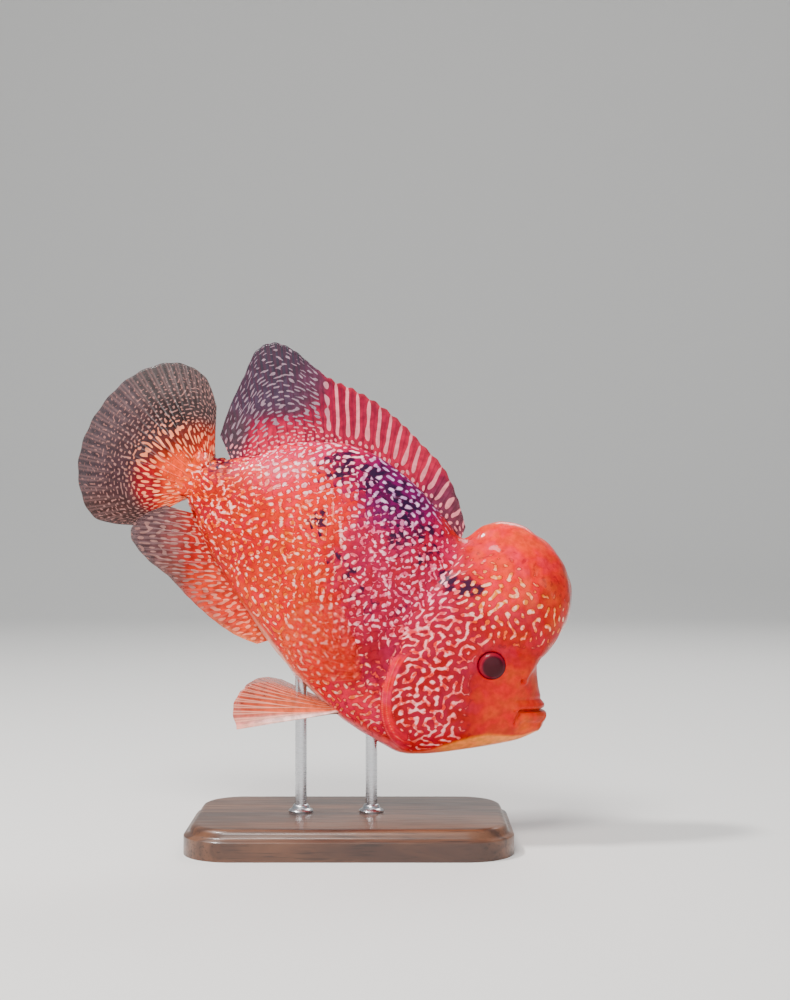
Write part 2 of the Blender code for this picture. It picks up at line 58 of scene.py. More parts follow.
BELLY = [(-11, -12.4), (-3, -11), (0, -12.4), (9.6, -17.8), (20.1, -24.3), (34.8, -30.6),
         (47.8, -35.8), (60, -40.2), (74, -44.4), (89, -47.2), (101, -48.7), (106.5, -48.7),
         (112, -48.4), (117.5, -48), (123.5, -47.5), (129.8, -46.4), (137, -42), (145.5, -34.5),
         (153.5, -27.2), (160.5, -20.6), (166.8, -14), (171.2, -7.2)]
HALF_WIDTH = [0.7, 2.3, 3.8, 6.6, 10.2, 14.2, 17.0, 19.0, 20.6, 21.3, 21.6, 21.8, 21.8, 21.4, 20.7,
              19.7, 18.4, 17.1, 15.7, 12.9, 9.6, 6]
SQUARENESS = [2.15] * 14 + [2.2, 2.3, 2.4, 2.5, 2.5, 2.4, 2.2, 2.1]
HUMP_HALF_WIDTH = [0] * 10 + [0.5, 8.5, 14, 17.2, 18.3, 17.8, 15.8, 12.8, 9.6, 6, 3, 0]
SKULL_SHARE = [1] * 11 + [0.93, 0.88, 0.84, 0.80, 0.77, 0.77, 0.84, 0.96, 1, 1, 1]
HUMP_FOOT, WIDEST_LOW = 0.47, 0.9
LIPS_END = (171.6, 0, -2.2)
COAT_DEPTH = 0.35
TRUNK_STEP, HEAD_STEP, HEAD_FROM = 1.15, 0.37, 101.0
HALF_COLUMNS, LIP_ROWS = 148, 10
EYE, EYE_OPENING, NOSTRIL = (138.6, 5.5), 5.45, (153.2, 7.4)
MOUTH_FRONT, MOUTH_CORNER, FOLD_END = (168.3, 2.2), (159.4, -3.2), (160.6, -8.6)
COVER_CENTRE, COVER_LENGTH, COVER_HEIGHT = (120.2, -20.5), 13.5, 24.5
COVER_LEAN = math.radians(24)


def along(values, t):
    """The smooth curve through values, read at section numbers t."""
    values = np.asarray(values, float).reshape(len(values), -1)
    t = np.clip(np.atleast_1d(np.asarray(t, float)), 0, len(values) - 1)
    i = np.minimum(t.astype(int), len(values) - 2)
    f = (t - i)[:, None]
    before, start = values[np.maximum(i - 1, 0)], values[i]
    end, after = values[i + 1], values[np.minimum(i + 2, len(values) - 1)]
    return 0.5 * (2 * start + (end - before) * f + (2 * before - 5 * start + 4 * end - after) * f**2
                  + (3 * start - before - 3 * end + after) * f**3)


def bump(x, centre, width):
    """1 at the centre, falling to 0 over about two widths."""
    return np.exp(-(((x - centre) / width) ** 2))


def ramp(x, low, high):
    """0 at low, 1 at high, smooth between them."""
    x = np.clip((x - low) / (high - low), 0, 1)
    return x * x * (3 - 2 * x)


def placed(points):
    """Fish lengths (s, y, h) in millimetres to the posed fish, in metres."""
    p = np.asarray(points, float)
    length = BEND_FROM - BEND_TO
    back = np.clip(BEND_FROM - p[..., 0], 0, length)
    beyond = np.minimum(p[..., 0] - BEND_TO, 0)
    turn = TAIL_TURN * (back / length) ** 2
    ahead = np.maximum(p[..., 0], BEND_FROM) - back + TAIL_TURN**2 * back**5 / (10 * length**4)
    side = TAIL_TURN * back**3 / (3 * length**2)
    s = ahead + beyond * np.cos(turn) + p[..., 1] * np.sin(turn)
    y = side - beyond * np.sin(turn) + p[..., 1] * np.cos(turn)
    x = TAIL_BASE_X + s * math.cos(PITCH) + p[..., 2] * math.sin(PITCH)
    z = TAIL_BASE_Z - s * math.sin(PITCH) + p[..., 2] * math.cos(PITCH)
    return np.stack([x, y, z], -1) * MM


def half_section(t, theta):
    """Points of the left flank, a row for each section and a column for each angle from the back."""
    back, belly = along(BACK, t), along(BELLY, t)
    up = 0.5 + 0.5 * np.cos(theta)
    skull = np.clip(along(SKULL_SHARE, t), 0.5, 1)
    body = np.clip(up / skull, 0, 1) ** WIDEST_LOW * 2 - 1
    power = along(SQUARENESS, t)
    body_y = np.clip(along(HALF_WIDTH, t), 0, None) * (1 - np.abs(body) ** power) ** (1 / power)
    hump = np.clip((up - HUMP_FOOT) / (1 - HUMP_FOOT), 0, 1) * 2 - 1
    hump_y = np.clip(along(HUMP_HALF_WIDTH, t), 0, None) * np.sqrt(1 - hump**2)
    y = (body_y**4 + hump_y**4) ** 0.25
    s = belly[:, :1] + (back - belly)[:, :1] * up
    h = belly[:, 1:] + (back - belly)[:, 1:] * up
    return np.stack([s, y, h], 2)


def rings(t, half_columns):
    """Closed rings of points at even shares of each section's girth, and each ring's half girth."""
    angles = np.linspace(0, math.pi, 241)
    dense = half_section(t, np.tile(angles, (len(t), 1)))
    run = np.cumsum(np.linalg.norm(np.diff(dense, axis=1), axis=2), 1)
    run = np.concatenate([np.zeros((len(t), 1)), run], 1)
    share = np.linspace(0, 1, half_columns + 1)
    theta = np.stack([np.interp(share * row[-1], row, angles) for row in run])
    left = half_section(t, theta)
    return np.concatenate([left, left[:, -2:0:-1] * [1, -1, 1]], 1), run[:, -1]


def outward(points):
    """Unit normals of closed rings of points."""
    closed = np.concatenate([points[:, -1:], points, points[:, :1]], 1)
    normal = np.cross(np.gradient(points, axis=0), closed[:, 2:] - closed[:, :-2])
    return normal / np.maximum(np.linalg.norm(normal, axis=2, keepdims=True), 1e-9)


def girth_shares(columns):
    return np.arange(columns) / columns


# Section numbers at even steps along the flank, finer over the head.
dense_t = np.linspace(0, len(BACK) - 1, 801)
flank_line = rings(dense_t, 20)[0][:, [5, 9, 13, 16]]
flank_run = np.linalg.norm(np.diff(flank_line, axis=0), axis=2).mean(1)
flank_run = np.concatenate([[0], np.cumsum(flank_run)])
neck_run = np.interp(HEAD_FROM, flank_line[:, 1, 0], flank_run)


def sections_at(runs):
    return np.interp(runs, flank_run, dense_t)


def line_place(s, h, start, end):
    """Distance to one side of the line from start to end, distance to its nearer point, share of it."""
    run_s, run_h = end[0] - start[0], end[1] - start[1]
    length = math.hypot(run_s, run_h)
    side = ((s - start[0]) * run_h - (h - start[1]) * run_s) / length
    share = ((s - start[0]) * run_s + (h - start[1]) * run_h) / length**2
    held = np.clip(share, 0, 1)
    return side, np.hypot(s - start[0] - held * run_s, h - start[1] - held * run_h), share


def cover_place(s, h):
    """Where (s, h) lies on the gill cover: 1 at its edge, 1 on its free rear half, and how far up."""
    u = (s - COVER_CENTRE[0]) * math.cos(COVER_LEAN) + (h - COVER_CENTRE[1]) * math.sin(COVER_LEAN)
    v = -(s - COVER_CENTRE[0]) * math.sin(COVER_LEAN) + (h - COVER_CENTRE[1]) * math.cos(COVER_LEAN)
    return np.hypot(u / COVER_LENGTH, v / COVER_HEIGHT), ramp(u, 4, -5), v


def face_relief(s, h, y):
    """How far the lips, the orbit, the gill cover and the other forms of the head stand out."""
    above, near_mouth, share = line_place(s, h, MOUTH_FRONT, MOUTH_CORNER)
    _, near_fold, _ = line_place(s, h, MOUTH_CORNER, FOLD_END)
    upper = 0.9 * bump(near_mouth, 1.7, 1.5) * ramp(above, -0.6, 0.8)
    lower = 1.0 * bump(near_mouth, 2.4, 2.0) * ramp(above, 0.6, -0.8) * ramp(share, 1.1, 0.8)
    fold = 0.45 * bump(near_fold, 1.6, 1.1) * ramp(share, 0.8, 1.1)
    slit = -1.8 * bump(near_mouth, 0, 0.5) - 0.9 * bump(near_fold, 0, 0.5)
    over_lip = -0.35 * bump(above, 4.2, 0.9) * ramp(share, 1.5, 1.0)
    under_lip = -0.45 * bump(above, -5.6, 1.1) * ramp(share, 1.2, 0.8)
    around = np.hypot(s - EYE[0], h - EYE[1])
    orbit = 0.5 * bump(around, 6.9, 2.2) + 0.4 * bump(around, 6.1, 0.6)
    socket = -3.2 * ramp(around, EYE_OPENING + 0.25, EYE_OPENING - 0.75)
    nostril = np.hypot(s - NOSTRIL[0], h - NOSTRIL[1])
    pit = -1.3 * bump(nostril, 0, 0.75) + 0.25 * bump(nostril, 1.5, 0.5)
    edge, behind, v = cover_place(s, h)
    free = behind * ramp(v, 20, 10)
    cover = 0.85 * ramp(edge, 1.02, 0.86 - 0.35 * (1 - free)) - 0.6 * bump(edge, 1.09, 0.045) * free
    flap = -0.45 * ramp(edge, 0.72, 0.78) * free + 0.2 * bump(edge, 0.9, 0.06) * free
    cheek = 0.5 * bump(s, 134, 9) * bump(h, -14, 11)
    notch = -0.5 * bump(line_place(s, h, (139, 16), (157, 19))[1], 0, 1.8)
    aside = ramp(np.abs(y), 0.3, 2.5)
    return (upper + lower + slit + over_lip + under_lip) + aside * (fold + orbit + socket + pit + cover + flap
                                                                  + cheek + notch)


def soft_noise(shape, passes, seed):
    """Smooth noise over a grid whose columns close on themselves, with a spread of 1."""
    noise = np.random.default_rng(seed).normal(0, 1, shape)
    for _ in range(passes):
        noise = (np.roll(noise, 1, 1) + np.roll(noise, -1, 1) + 2 * noise) / 4
        lower = np.concatenate([noise[:1], noise[:-1]])
        upper = np.concatenate([noise[1:], noise[-1:]])
        noise = (lower + upper + 2 * noise) / 4
    return noise / noise.std()


# The markings grow as such patterns do in life: each spot feeds its near neighbourhood and starves
# what lies a little further out. They are worked out once on an even grid over the whole body, and
# the skin and the scales both read them from it. On the trunk the pearls hold to the scales.
GRID_STEP, GRID_COLUMNS = 0.42, 576
SCALE_LONG, SCALE_HIGH, MIDDLE_ROW = 4.3, 5.6, 0.47
SPREAD, PITCH_TO_REACH, GAIN = 2.56, 5.72, 6
BODY_ROUNDS, FIN_ROUNDS, MARK_LIMIT, FIRST_NOISE = 12, 8, 1.6, 0.3
sections = sections_at(np.arange(0, flank_run[-1], GRID_STEP))
body, half_girth = rings(sections, GRID_COLUMNS // 2)
body_normal = outward(body)
body_s, body_h = body[:, :, 0], body[:, :, 2]
half_share = np.minimum(girth_shares(GRID_COLUMNS), 1 - girth_shares(GRID_COLUMNS)) * 2
row_height = (half_share[None] - MIDDLE_ROW) * half_girth[:, None]


def spot_pitch(s, h):
    """The distance between neighbouring marks."""
    trunk = 2.95 - 0.15 * ramp(s, 62, 84) + 0.4 * ramp(s, 96, 106) * ramp(h, 2, 16)
    trunk = trunk + 0.9 * ramp(s, 104, 116) * ramp(h, 22, 34)
    return trunk + (2.95 - trunk) * ramp(s, 98, 106) * ramp(h, 16, -2)


def spot_lean(s, h):
    """Low where the marks are round spots, higher where they join into worms."""
    worms = 0.12 * ramp(s, 62, 84) + 0.44 * ramp(s, 100, 108) * ramp(h, 24, 6)
    worms = worms - 0.16 * ramp(s, 104, 116) * ramp(h, 24, 36)
    return -0.6 + worms + 0.3 * ramp(s, 32, 12) * ramp(h, 12, -4)


def scale_hold():
    """The scales' own lattice, which draws the pearls of the trunk on to their centres."""
    lattice = np.cos(2 * math.pi * body_s / SCALE_LONG) * np.cos(2 * math.pi * row_height / SCALE_HIGH)
    hold = 0.07 * ramp(body_s, 80, 56) + 0.1 * ramp(body_s, 46, 34)
    hold = hold - 0.2 * ramp(body_s, 30, 15) * ramp(body_h, 10, -5)
    return np.clip(hold, 0, 1) * lattice


def grow_marks():
    """The markings' field, above 0 where the skin is pale."""
    gap_along = np.maximum(np.linalg.norm(np.gradient(body, axis=0), axis=2), 0.28)
    gap_round = np.maximum(2 * half_girth / GRID_COLUMNS, 0.02)
    wave = np.fft.rfftfreq(GRID_COLUMNS)[None] * 2 * math.pi / gap_round[:, None]
    reach = spot_pitch(body_s, body_h) / PITCH_TO_REACH
    near = np.exp(-0.5 * (wave * reach[:, GRID_COLUMNS // 4, None]) ** 2)
    far = near**SPREAD
    lean = spot_lean(body_s, body_h) + scale_hold() + 0.2 * soft_noise(body_s.shape, 6, 11)

    def soften(field, amount):
        steps = int(np.ceil((amount / gap_along**2).max() / 0.24))
        share = amount / gap_along**2 / steps
        for _ in range(steps):
            ahead = np.concatenate([field[1:], field[-1:]])
            behind = np.concatenate([field[:1], field[:-1]])
            field = field + share * (ahead + behind - 2 * field)
        return field

    field = np.random.default_rng(7).normal(0, FIRST_NOISE, body_s.shape)
    for _ in range(BODY_ROUNDS):
        spectrum = np.fft.rfft(field, axis=1)
        feed = soften(np.fft.irfft(spectrum * near, GRID_COLUMNS, axis=1), reach**2 / 2)
        starve = soften(np.fft.irfft(spectrum * far, GRID_COLUMNS, axis=1), SPREAD * reach**2 / 2)
        drive = GAIN * (feed - starve) + lean
        field = np.tanh(drive)
    return np.clip(drive, -MARK_LIMIT, MARK_LIMIT)


marks_grid = grow_marks()
blots_grid = soft_noise(body_s.shape, 9, 23)


def read_off(values, t, share):
    """Values of the even grid between its points, at sections t and girth shares from the back round."""
    row = np.interp(t, sections, np.arange(len(sections)))
    column = np.mod(share, 1) * GRID_COLUMNS
    i = np.minimum(row.astype(int), len(sections) - 2)
    j = column.astype(int) % GRID_COLUMNS
    k = (j + 1) % GRID_COLUMNS
    a, b = row - i, column - np.floor(column)
    if values.ndim == 3:
        a, b = a[..., None], b[..., None]
    return ((values[i, j] * (1 - b) + values[i, k] * b) * (1 - a)
            + (values[i + 1, j] * (1 - b) + values[i + 1, k] * b) * a)


# The ground colours of the hide, each at its middle (s, h), with its reach and its sRGB colour.
COLOUR_REACH = 0.62
GROUND = {
    "tail root": (-9, -4, 7, (206, 54, 10)), "tail stalk": (10.5, -2.8, 11, (170, 26, 30)),
    "stalk notch": (0.3, 9.7, 4, (98, 34, 44)), "stalk underside": (15.2, -19.6, 9, (186, 40, 36)),
    "rear back": (15.4, 24.8, 13, (220, 8, 54)), "mid back": (32.9, 43, 11, (196, 14, 66)),
    "rear flank": (29.9, -6.9, 15, (196, 26, 10)), "mid flank": (41.5, 16.3, 14, (226, 20, 14)),
    "lower flank": (56.4, -16.1, 16, (220, 38, 16)), "shoulder": (80, 7.9, 17, (172, 0, 52)),
    "dark shoulder": (71.5, 39.6, 12, (104, 22, 76)), "dark back": (45.7, 36.8, 7, (120, 26, 70)),
    "nape": (96.8, 32.1, 11, (172, 0, 50)), "above the gill": (102.8, 11.2, 13, (166, 0, 46)),
    "cheek": (125.2, -16, 15, (158, 0, 30)), "lower cheek": (135.3, -35.6, 9, (184, 14, 26)),
    # Behind the gill: a deep crimson spot just behind the cover's edge, painted shadow of the gill cover.
    "behind the gill": (100.8, -17.8, 9, (156, 0, 40)),
    "breast": (105, -39.5, 7, (214, 62, 78)), "arm pit": (89.5, -28, 5.5, (204, 48, 52)),
    "behind the eye": (125.6, 9.5, 9, (164, 0, 28)), "lower lip": (165, -7, 3.5, (226, 92, 44)),
    "face": (154.5, -3.1, 12, (200, 38, 0)), "snout": (163.5, 5.6, 8, (184, 36, 2)),
    "brow": (143.2, 21.7, 9, (176, 10, 8)), "hump rear": (100.9, 45, 7, (212, 44, 20)),
    "hump": (121.5, 44.3, 14, (228, 0, 4)), "hump front": (146.8, 46.9, 11, (190, 44, 14)),
    "hump top": (116.6, 60, 8, (224, 58, 18)),
}
# The pale underside, from the cream of the belly to the peach of the jaw.
UNDERSIDE = {
    "belly": (60, -38, 20, (242, 168, 148)), "pelvis": (88, -47, 14, (244, 174, 158)),
    "breast": (106, -48, 9, (244, 124, 130)), "gill fold": (122, -47, 9, (246, 124, 130)),
    "throat": (134, -43, 8, (246, 128, 116)), "jaw": (155, -26, 12, (250, 158, 112)),
    "vent": (34, -30, 14, (204, 62, 44)), "tail": (0, -12, 14, (188, 54, 36)),
}
# The pale marks, from cream on the rear flank to lilac on the dark shoulder.
PALE = {
    "rear": (19.6, -6.5, 20, (246, 100, 64)), "back": (25.1, 32.5, 16, (255, 170, 182)),
    "flank": (51, -4.7, 20, (252, 128, 84)), "belly": (85.1, -46.4, 16, (248, 134, 104)),
    "shoulder": (79.8, 15.3, 20, (255, 122, 148)), "dark": (72.5, 40.3, 12, (186, 144, 196)),
    "cheek": (126.7, -12.4, 20, (255, 106, 104)), "throat": (133, -43.1, 10, (255, 116, 108)),
    "hump": (127.9, 43.7, 16, (254, 150, 92)), "brow": (141, 17.7, 10, (252, 108, 70)),
}
# A pale line runs over the gill cover's top, from the first point to the second.
OVER_GILL = (96.5, -11.0), (108.5, 3.0)
# Where the marks fade out: s, h, reach and how much.
PLAIN = [(158.5, -3.5, 11, 1.4), (163, 8, 12, 1.3), (116, 58, 10, 0.8), (153, -15, 7, 0.6),
         (134, 55, 11, 0.55), (148, 46, 7, 0.35), (108, 36, 6, 0.3), (167.8, -6.2, 10, 1.2),
         # The spot at (99, -15.5) keeps the painted shadow behind the gill cover free of marks.
         (140.5, 5, 6, 0.9), (99.2, 48.9, 8, 0.6), (99, -15.5, 3.8, 1.0), (105, -38.5, 6, 0.22),
         (89.5, -28, 5.5, 0.2)]
# Black blots: s, h, reach and strength.
BLOTS = [(49.2, 13.1, 2.6, 1), (63.6, 6.1, 2.4, 0.9), (71.5, 3.5, 2.6, 0.9), (79.1, -0.3, 2.6, 0.9),
         (86, -3, 2, 0.7), (44.6, 37, 6, 0.85), (58, 42, 6, 0.75), (66, 39, 6, 0.85), (75.6, 37.6, 6.5, 0.85),
         (86.6, 33.9, 5, 0.75), (78.5, 26.4, 5, 0.75), (92, 27, 4, 0.6), (105.9, 23.4, 2.8, 1.1),
         (112, 24.7, 3, 1), (116.9, 27.1, 2.4, 0.8), (102, 23.2, 2, 0.6), (0.3, 9.7, 5, 0.6),
         (96, 1.4, 3, 0.5)]


def linear(colour):
    """An sRGB colour of 0 to 255 as linear light."""
    c = np.asarray(colour, float) / 255
    return np.where(c <= 0.04045, c / 12.92, ((c + 0.055) / 1.055) ** 2.4)


def near_spot(s, h, at_s, at_h, reach):
    """1 at the spot's middle, falling off round it."""
    return np.exp(-((s - at_s) ** 2 + (h - at_h) ** 2) / (2 * reach**2))


def over(under, colour, share):
    """One colour laid over another by share."""
    share = share[..., None]
    return under * (1 - share) + colour * share


def painted(s, h, table):
    """The table's colours blended at each (s, h)."""
    total = np.zeros(np.shape(s)) + 1e-9
    colour = np.zeros(np.shape(s) + (3,))
    for at_s, at_h, reach, tone in table.values():
        weight = near_spot(s, h, at_s, at_h, reach * COLOUR_REACH) + 1e-7
        total = total + weight
        colour = colour + weight[..., None] * linear(tone)
    return colour / total[..., None]


def underneath(s, share):
    """1 on the pale underside, by the share of the girth, which is widest under the jaw."""
    down = 1 - np.abs(np.mod(share, 1) * 2 - 1)
    start = 0.93 - 0.02 * ramp(s, 96, 112) - 0.2 * ramp(s, 130, 156) + 0.04 * ramp(s, 40, 20)
    return ramp(down, start - 0.025, start + 0.02)


def fullness(s, h, share):
    """1 where the marks are full, 0 where the skin is plain."""
    left = np.ones(np.shape(s))
    for at_s, at_h, reach, loss in PLAIN:
        left = left - loss * near_spot(s, h, at_s, at_h, reach)
    edge, behind, cover_v = cover_place(s, h)
    rim = behind * ramp(edge, 0.7, 0.74) * ramp(edge, 1.05, 0.99) * ramp(cover_v, 17, 9)
    plain_below = underneath(s, share) * (1 - 0.6 * ramp(s, 30, 10) - 0.55 * bump(s, 112, 12))
    return np.clip(left, 0, 1) * (1 - rim) * (1 - plain_below)


def blotted(s, h):
    """How near each (s, h) is to a black blot."""
    near = np.zeros(np.shape(s))
    for at_s, at_h, reach, strength in BLOTS:
        near = np.maximum(near, strength * near_spot(s, h, at_s, at_h, reach))
    return near


def ground_tone(s, h, share):
    """The hide's ground colour, with the pale underside, the gill cover's soft pink rim and thin painted
    highlights along its free edge.
    """
    tone = over(painted(s, h, GROUND), painted(s, h, UNDERSIDE), underneath(s, share))
    edge, behind, cover_v = cover_place(s, h)
    behind = behind * ramp(cover_v, 17, 9)
    rim = 0.9 * behind * ramp(edge, 0.7, 0.76) * ramp(edge, 1.04, 0.98)
    # Two thin pale pink lines on the gill cover's free edge and on its step are painted highlights.
    painted_edge_highlight = 0.7 * behind * (bump(edge, 0.985, 0.02) + bump(edge, 0.86, 0.02))
    return over(over(tone, linear((224, 60, 78)), rim), linear((248, 140, 136)), painted_edge_highlight)


def wetness(s, h):
    """The hump is the glossiest, then the face."""
    return 0.3 + 0.7 * ramp(h, 22, 36) * ramp(s, 98, 108) + 0.2 * ramp(s, 120, 140)


def linked(name, data):
    """An object of the scene for a mesh, a lamp or a camera."""
    made = bpy.data.objects.new(name, data)
    bpy.context.scene.collection.objects.link(made)
    return made


def add_object(name, vertices, faces):
    data = bpy.data.meshes.new(name)
    data.from_pydata(np.asarray(vertices).tolist(), [], [tuple(f) for f in faces])
    data.shade_smooth()
    return linked(name, data)


def store(target, name, values, kind="FLOAT"):
    """Values at the vertices of an object, under a name that its material reads."""
    layer = target.data.attributes.new(name, kind, "POINT")
    values = np.asarray(values, np.float32)
    if kind == "FLOAT_COLOR":
        values = np.concatenate([values, np.ones(values.shape[:-1] + (1,), np.float32)], -1)
    layer.data.foreach_set({"FLOAT": "value", "FLOAT_COLOR": "color"}[kind], values.ravel())


def store_marks(target, s, h, t, share):
    """Ground, pale marks, blots and gloss at the vertices, read from the same places for skin and scales."""
    store(target, "ground", ground_tone(s, h, share), "FLOAT_COLOR")
    store(target, "pale", painted(s, h, PALE), "FLOAT_COLOR")
    thin = 0.32 * ramp(s, 98, 108) * ramp(h, 24, 6)
    field = read_off(marks_grid, t, share) - thin - 3.2 * (1 - fullness(s, h, share))
    _, near, _ = line_place(s, h, *OVER_GILL)
    store(target, "mark", np.maximum(field, 2.2 * bump(near, 0, 1.0) - 1.2))
    blot = blotted(s, h)
    store(target, "blot", blot + 0.22 * read_off(blots_grid, t, share) * ramp(blot, 0.02, 0.3))
    store(target, "wet", wetness(s, h))


def ring_faces(rows, columns):
    """Quads between closed rings of vertices, facing out."""
    at = np.arange(rows * columns).reshape(rows, columns)
    nxt = np.roll(at, -1, 1)
    return np.stack([at[:-1], at[1:], nxt[1:], nxt[:-1]], -1).reshape(-1, 4).tolist()


def closed_faces(rows, columns, outside_in=False):
    """The quads between rings and a fan to the two points that follow them, one at each end."""
    faces, top, end = ring_faces(rows, columns), (rows - 1) * columns, rows * columns
    for j in range(columns):
        k = (j + 1) % columns
        faces.append((j, k, end))
        faces.append((top + k, top + j, end + 1))
    return [face[::-1] for face in faces] if outside_in else faces


trunk_runs = np.linspace(0, neck_run, int(neck_run / TRUNK_STEP), endpoint=False)
head_runs = np.linspace(neck_run, flank_run[-1], int((flank_run[-1] - neck_run) / HEAD_STEP))
skin_t = sections_at(np.concatenate([trunk_runs, head_runs]))
skin_rings, _ = rings(skin_t, HALF_COLUMNS)
skin_s, skin_h = skin_rings[:, :, 0], skin_rings[:, :, 2]
skin_place = (np.repeat(skin_t[:, None], 2 * HALF_COLUMNS, 1),
              np.tile(girth_shares(2 * HALF_COLUMNS), (len(skin_t), 1)))
lumps = read_off(soft_noise(body_s.shape, 90, 31), *skin_place)
nodules = read_off(soft_noise(body_s.shape, 34, 37), *skin_place)
on_hump = ramp(skin_s, 99, 108) * ramp(skin_h, 20, 34)
relief = face_relief(skin_s, skin_h, skin_rings[:, :, 1])
relief = relief - COAT_DEPTH * ramp(skin_s, 108, 100) + 0.12 * lumps * ramp(skin_s, 166, 150)
relief = relief + 0.2 * nodules * on_hump
skin_rings = skin_rings + outward(skin_rings) * relief[:, :, None]
# The front closes round the lips on half a rounded cap.
lip_ring, lip_rows = skin_rings[-1], []
lip_middle = lip_ring.mean(0)
for turn in np.linspace(0, math.pi / 2, LIP_ROWS + 1)[1:-1]:
    lip_rows.append(lip_middle + (lip_ring - lip_middle) * math.cos(turn)
                    + (np.array(LIPS_END) - lip_middle) * math.sin(turn))
skin_points = np.concatenate([skin_rings, lip_rows])
columns = 2 * HALF_COLUMNS
skin_faces = closed_faces(len(skin_points), columns)
tail_end = skin_points[0].mean(0)
vertices = np.concatenate([skin_points.reshape(-1, 3), [tail_end, LIPS_END]])
skin = add_object("skin", placed(vertices), skin_faces)
all_t = np.concatenate([np.repeat(skin_t, columns), np.full((LIP_ROWS - 1) * columns, skin_t[-1]),
                        [skin_t[0], skin_t[-1]]])
all_share = np.concatenate([np.tile(girth_shares(columns), len(skin_points)), [0, 0]])
store_marks(skin, vertices[:, 0], vertices[:, 2], all_t, all_share)


def fill(tree, node, inputs):
    """Sets a node's inputs to values, or links them to other nodes' outputs."""
    for name, value in dict(inputs).items():
        if isinstance(value, bpy.types.NodeSocket):
            tree.links.new(value, node.inputs[name])
        else:
            node.inputs[name].default_value = value


def add(tree, kind, inputs=(), **settings):
    """A node with its settings made and its inputs filled."""
    made = tree.nodes.new(kind)
    for name, value in settings.items():
        setattr(made, name, value)
    fill(tree, made, inputs)
    return made


def begin_finish(name):
    """A new finish with its nodes and its shader."""
    made = bpy.data.materials.new(name)
    made.use_nodes = True
    return made, made.node_tree, made.node_tree.nodes["Principled BSDF"]


def mixed(tree, share, first_colour, second_colour):
    """first_colour turning to second_colour as share goes from 0 to 1."""
    return add(tree, "ShaderNodeMix", {0: share, 6: first_colour, 7: second_colour},
               data_type="RGBA").outputs[2]


def graded(tree, value, low, high, start=0.0, end=1.0):
    """value's range from low to high as start to end, smoothly."""
    return add(tree, "ShaderNodeMapRange", {"Value": value, 1: low, 2: high, 3: start, 4: end},
               interpolation_type="SMOOTHSTEP").outputs[0]


def summed(tree, a, b, operation="ADD"):
    return add(tree, "ShaderNodeMath", {0: a, 1: b}, operation=operation).outputs[0]


def times(tree, a, b):
    return summed(tree, a, b, "MULTIPLY")


def opaque(*colour):
    """An sRGB colour of 0 to 255 as a node takes it."""
    return (*linear(colour), 1)


def tinted(tree, colour, **changes):
    """A colour with its Hue, Saturation or Value changed."""
    return add(tree, "ShaderNodeHueSaturation", {"Color": colour, **changes}).outputs[0]


def dented(tree, height, depth, strength):
    """The surface's direction where height dents it, depth in millimetres."""
    inputs = {"Height": height, "Distance": depth * MM, "Strength": strength}
    return add(tree, "ShaderNodeBump", inputs).outputs[0]


def read(tree, name, output="Fac"):
    return add(tree, "ShaderNodeAttribute", attribute_name=name).outputs[output]


def noise(tree, size, detail=2.0, roughness=0.5):
    """Noise on the object's own lengths, with waves of about size millimetres."""
    where = add(tree, "ShaderNodeTexCoord").outputs["Object"]
    return add(tree, "ShaderNodeTexNoise", {"Vector": where, "Scale": 1 / (size * MM), "Detail": detail,
                                            "Roughness": roughness}).outputs["Fac"]


def roughened_marks(tree, grain_size):
    """The markings' field with its edges roughened by a fine grain, the grain, and the roughening."""
    grain = noise(tree, grain_size, 3, 0.6)
    wander = times(tree, summed(tree, grain, -0.5), 0.7)
    return summed(tree, read(tree, "mark"), wander), grain, wander


def dark_rim(tree, field, low):
    """1 just outside each pale mark."""
    return times(tree, graded(tree, field, low, -0.3), graded(tree, field, 0.1, -0.1))


def fish_finish(name, bump_depth):
    """Wet hide: mottled ground, pale marks with dark rims and painted near-white glints on their cores, and
    black blots, under a thin clear film.
    """
    made, tree, shader = begin_finish(name)
    mottle, patches = noise(tree, 2.4, 3), noise(tree, 7.0, 2)
    field, grain, wander = roughened_marks(tree, 0.45)
    ground = tinted(tree, read(tree, "ground", "Color"), Value=graded(tree, mottle, 0.3, 0.7, 0.85, 1.14),
                    Hue=graded(tree, patches, 0.3, 0.7, 0.494, 0.505), Saturation=1.15)
    lean = times(tree, summed(tree, mottle, -0.5), 1.1)
    blot = graded(tree, summed(tree, summed(tree, read(tree, "blot"), wander), lean), 0.3, 0.85)
    ground = mixed(tree, times(tree, blot, 0.95), ground, opaque(30, 12, 44))
    ground = mixed(tree, times(tree, dark_rim(tree, field, -0.95), 0.42), ground, opaque(84, 0, 22))
    mark = graded(tree, field, -0.28, 0.6)
    pale = tinted(tree, read(tree, "pale", "Color"), Value=graded(tree, mottle, 0.35, 0.65, 0.78, 1.06),
                  Saturation=graded(tree, mottle, 0.35, 0.65, 1.15, 0.9))
    # The pale marks' cores are lifted towards near white: painted glints, not the pearls' own colour.
    bright = times(tree, graded(tree, field, 0.5, 1.2), graded(tree, mottle, 0.42, 0.6))
    pale = mixed(tree, times(tree, bright, 0.42), pale, opaque(255, 232, 234))
    height = summed(tree, times(tree, mark, 0.5), grain)
    fill(tree, shader, {
        "Base Color": mixed(tree, mark, ground, pale), "Roughness": graded(tree, mark, 0, 1, 0.42, 0.3),
        "IOR": 1.18, "Coat Weight": times(tree, read(tree, "wet"), 0.9), "Coat IOR": 1.27,
        "Coat Roughness": 0.07, "Subsurface Weight": 0.06, "Subsurface Radius": (1.0, 0.35, 0.2),
        "Subsurface Scale": 0.002, "Normal": dented(tree, height, bump_depth, 0.5)})
    return made


skin.data.materials.append(fish_finish("wet_hide", 0.18))
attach(skin, "root")
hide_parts("head", "nuchal_hump", "lower_jaw", "gill_cover_left", "gill_cover_right", "trunk",
            "tail_stalk")

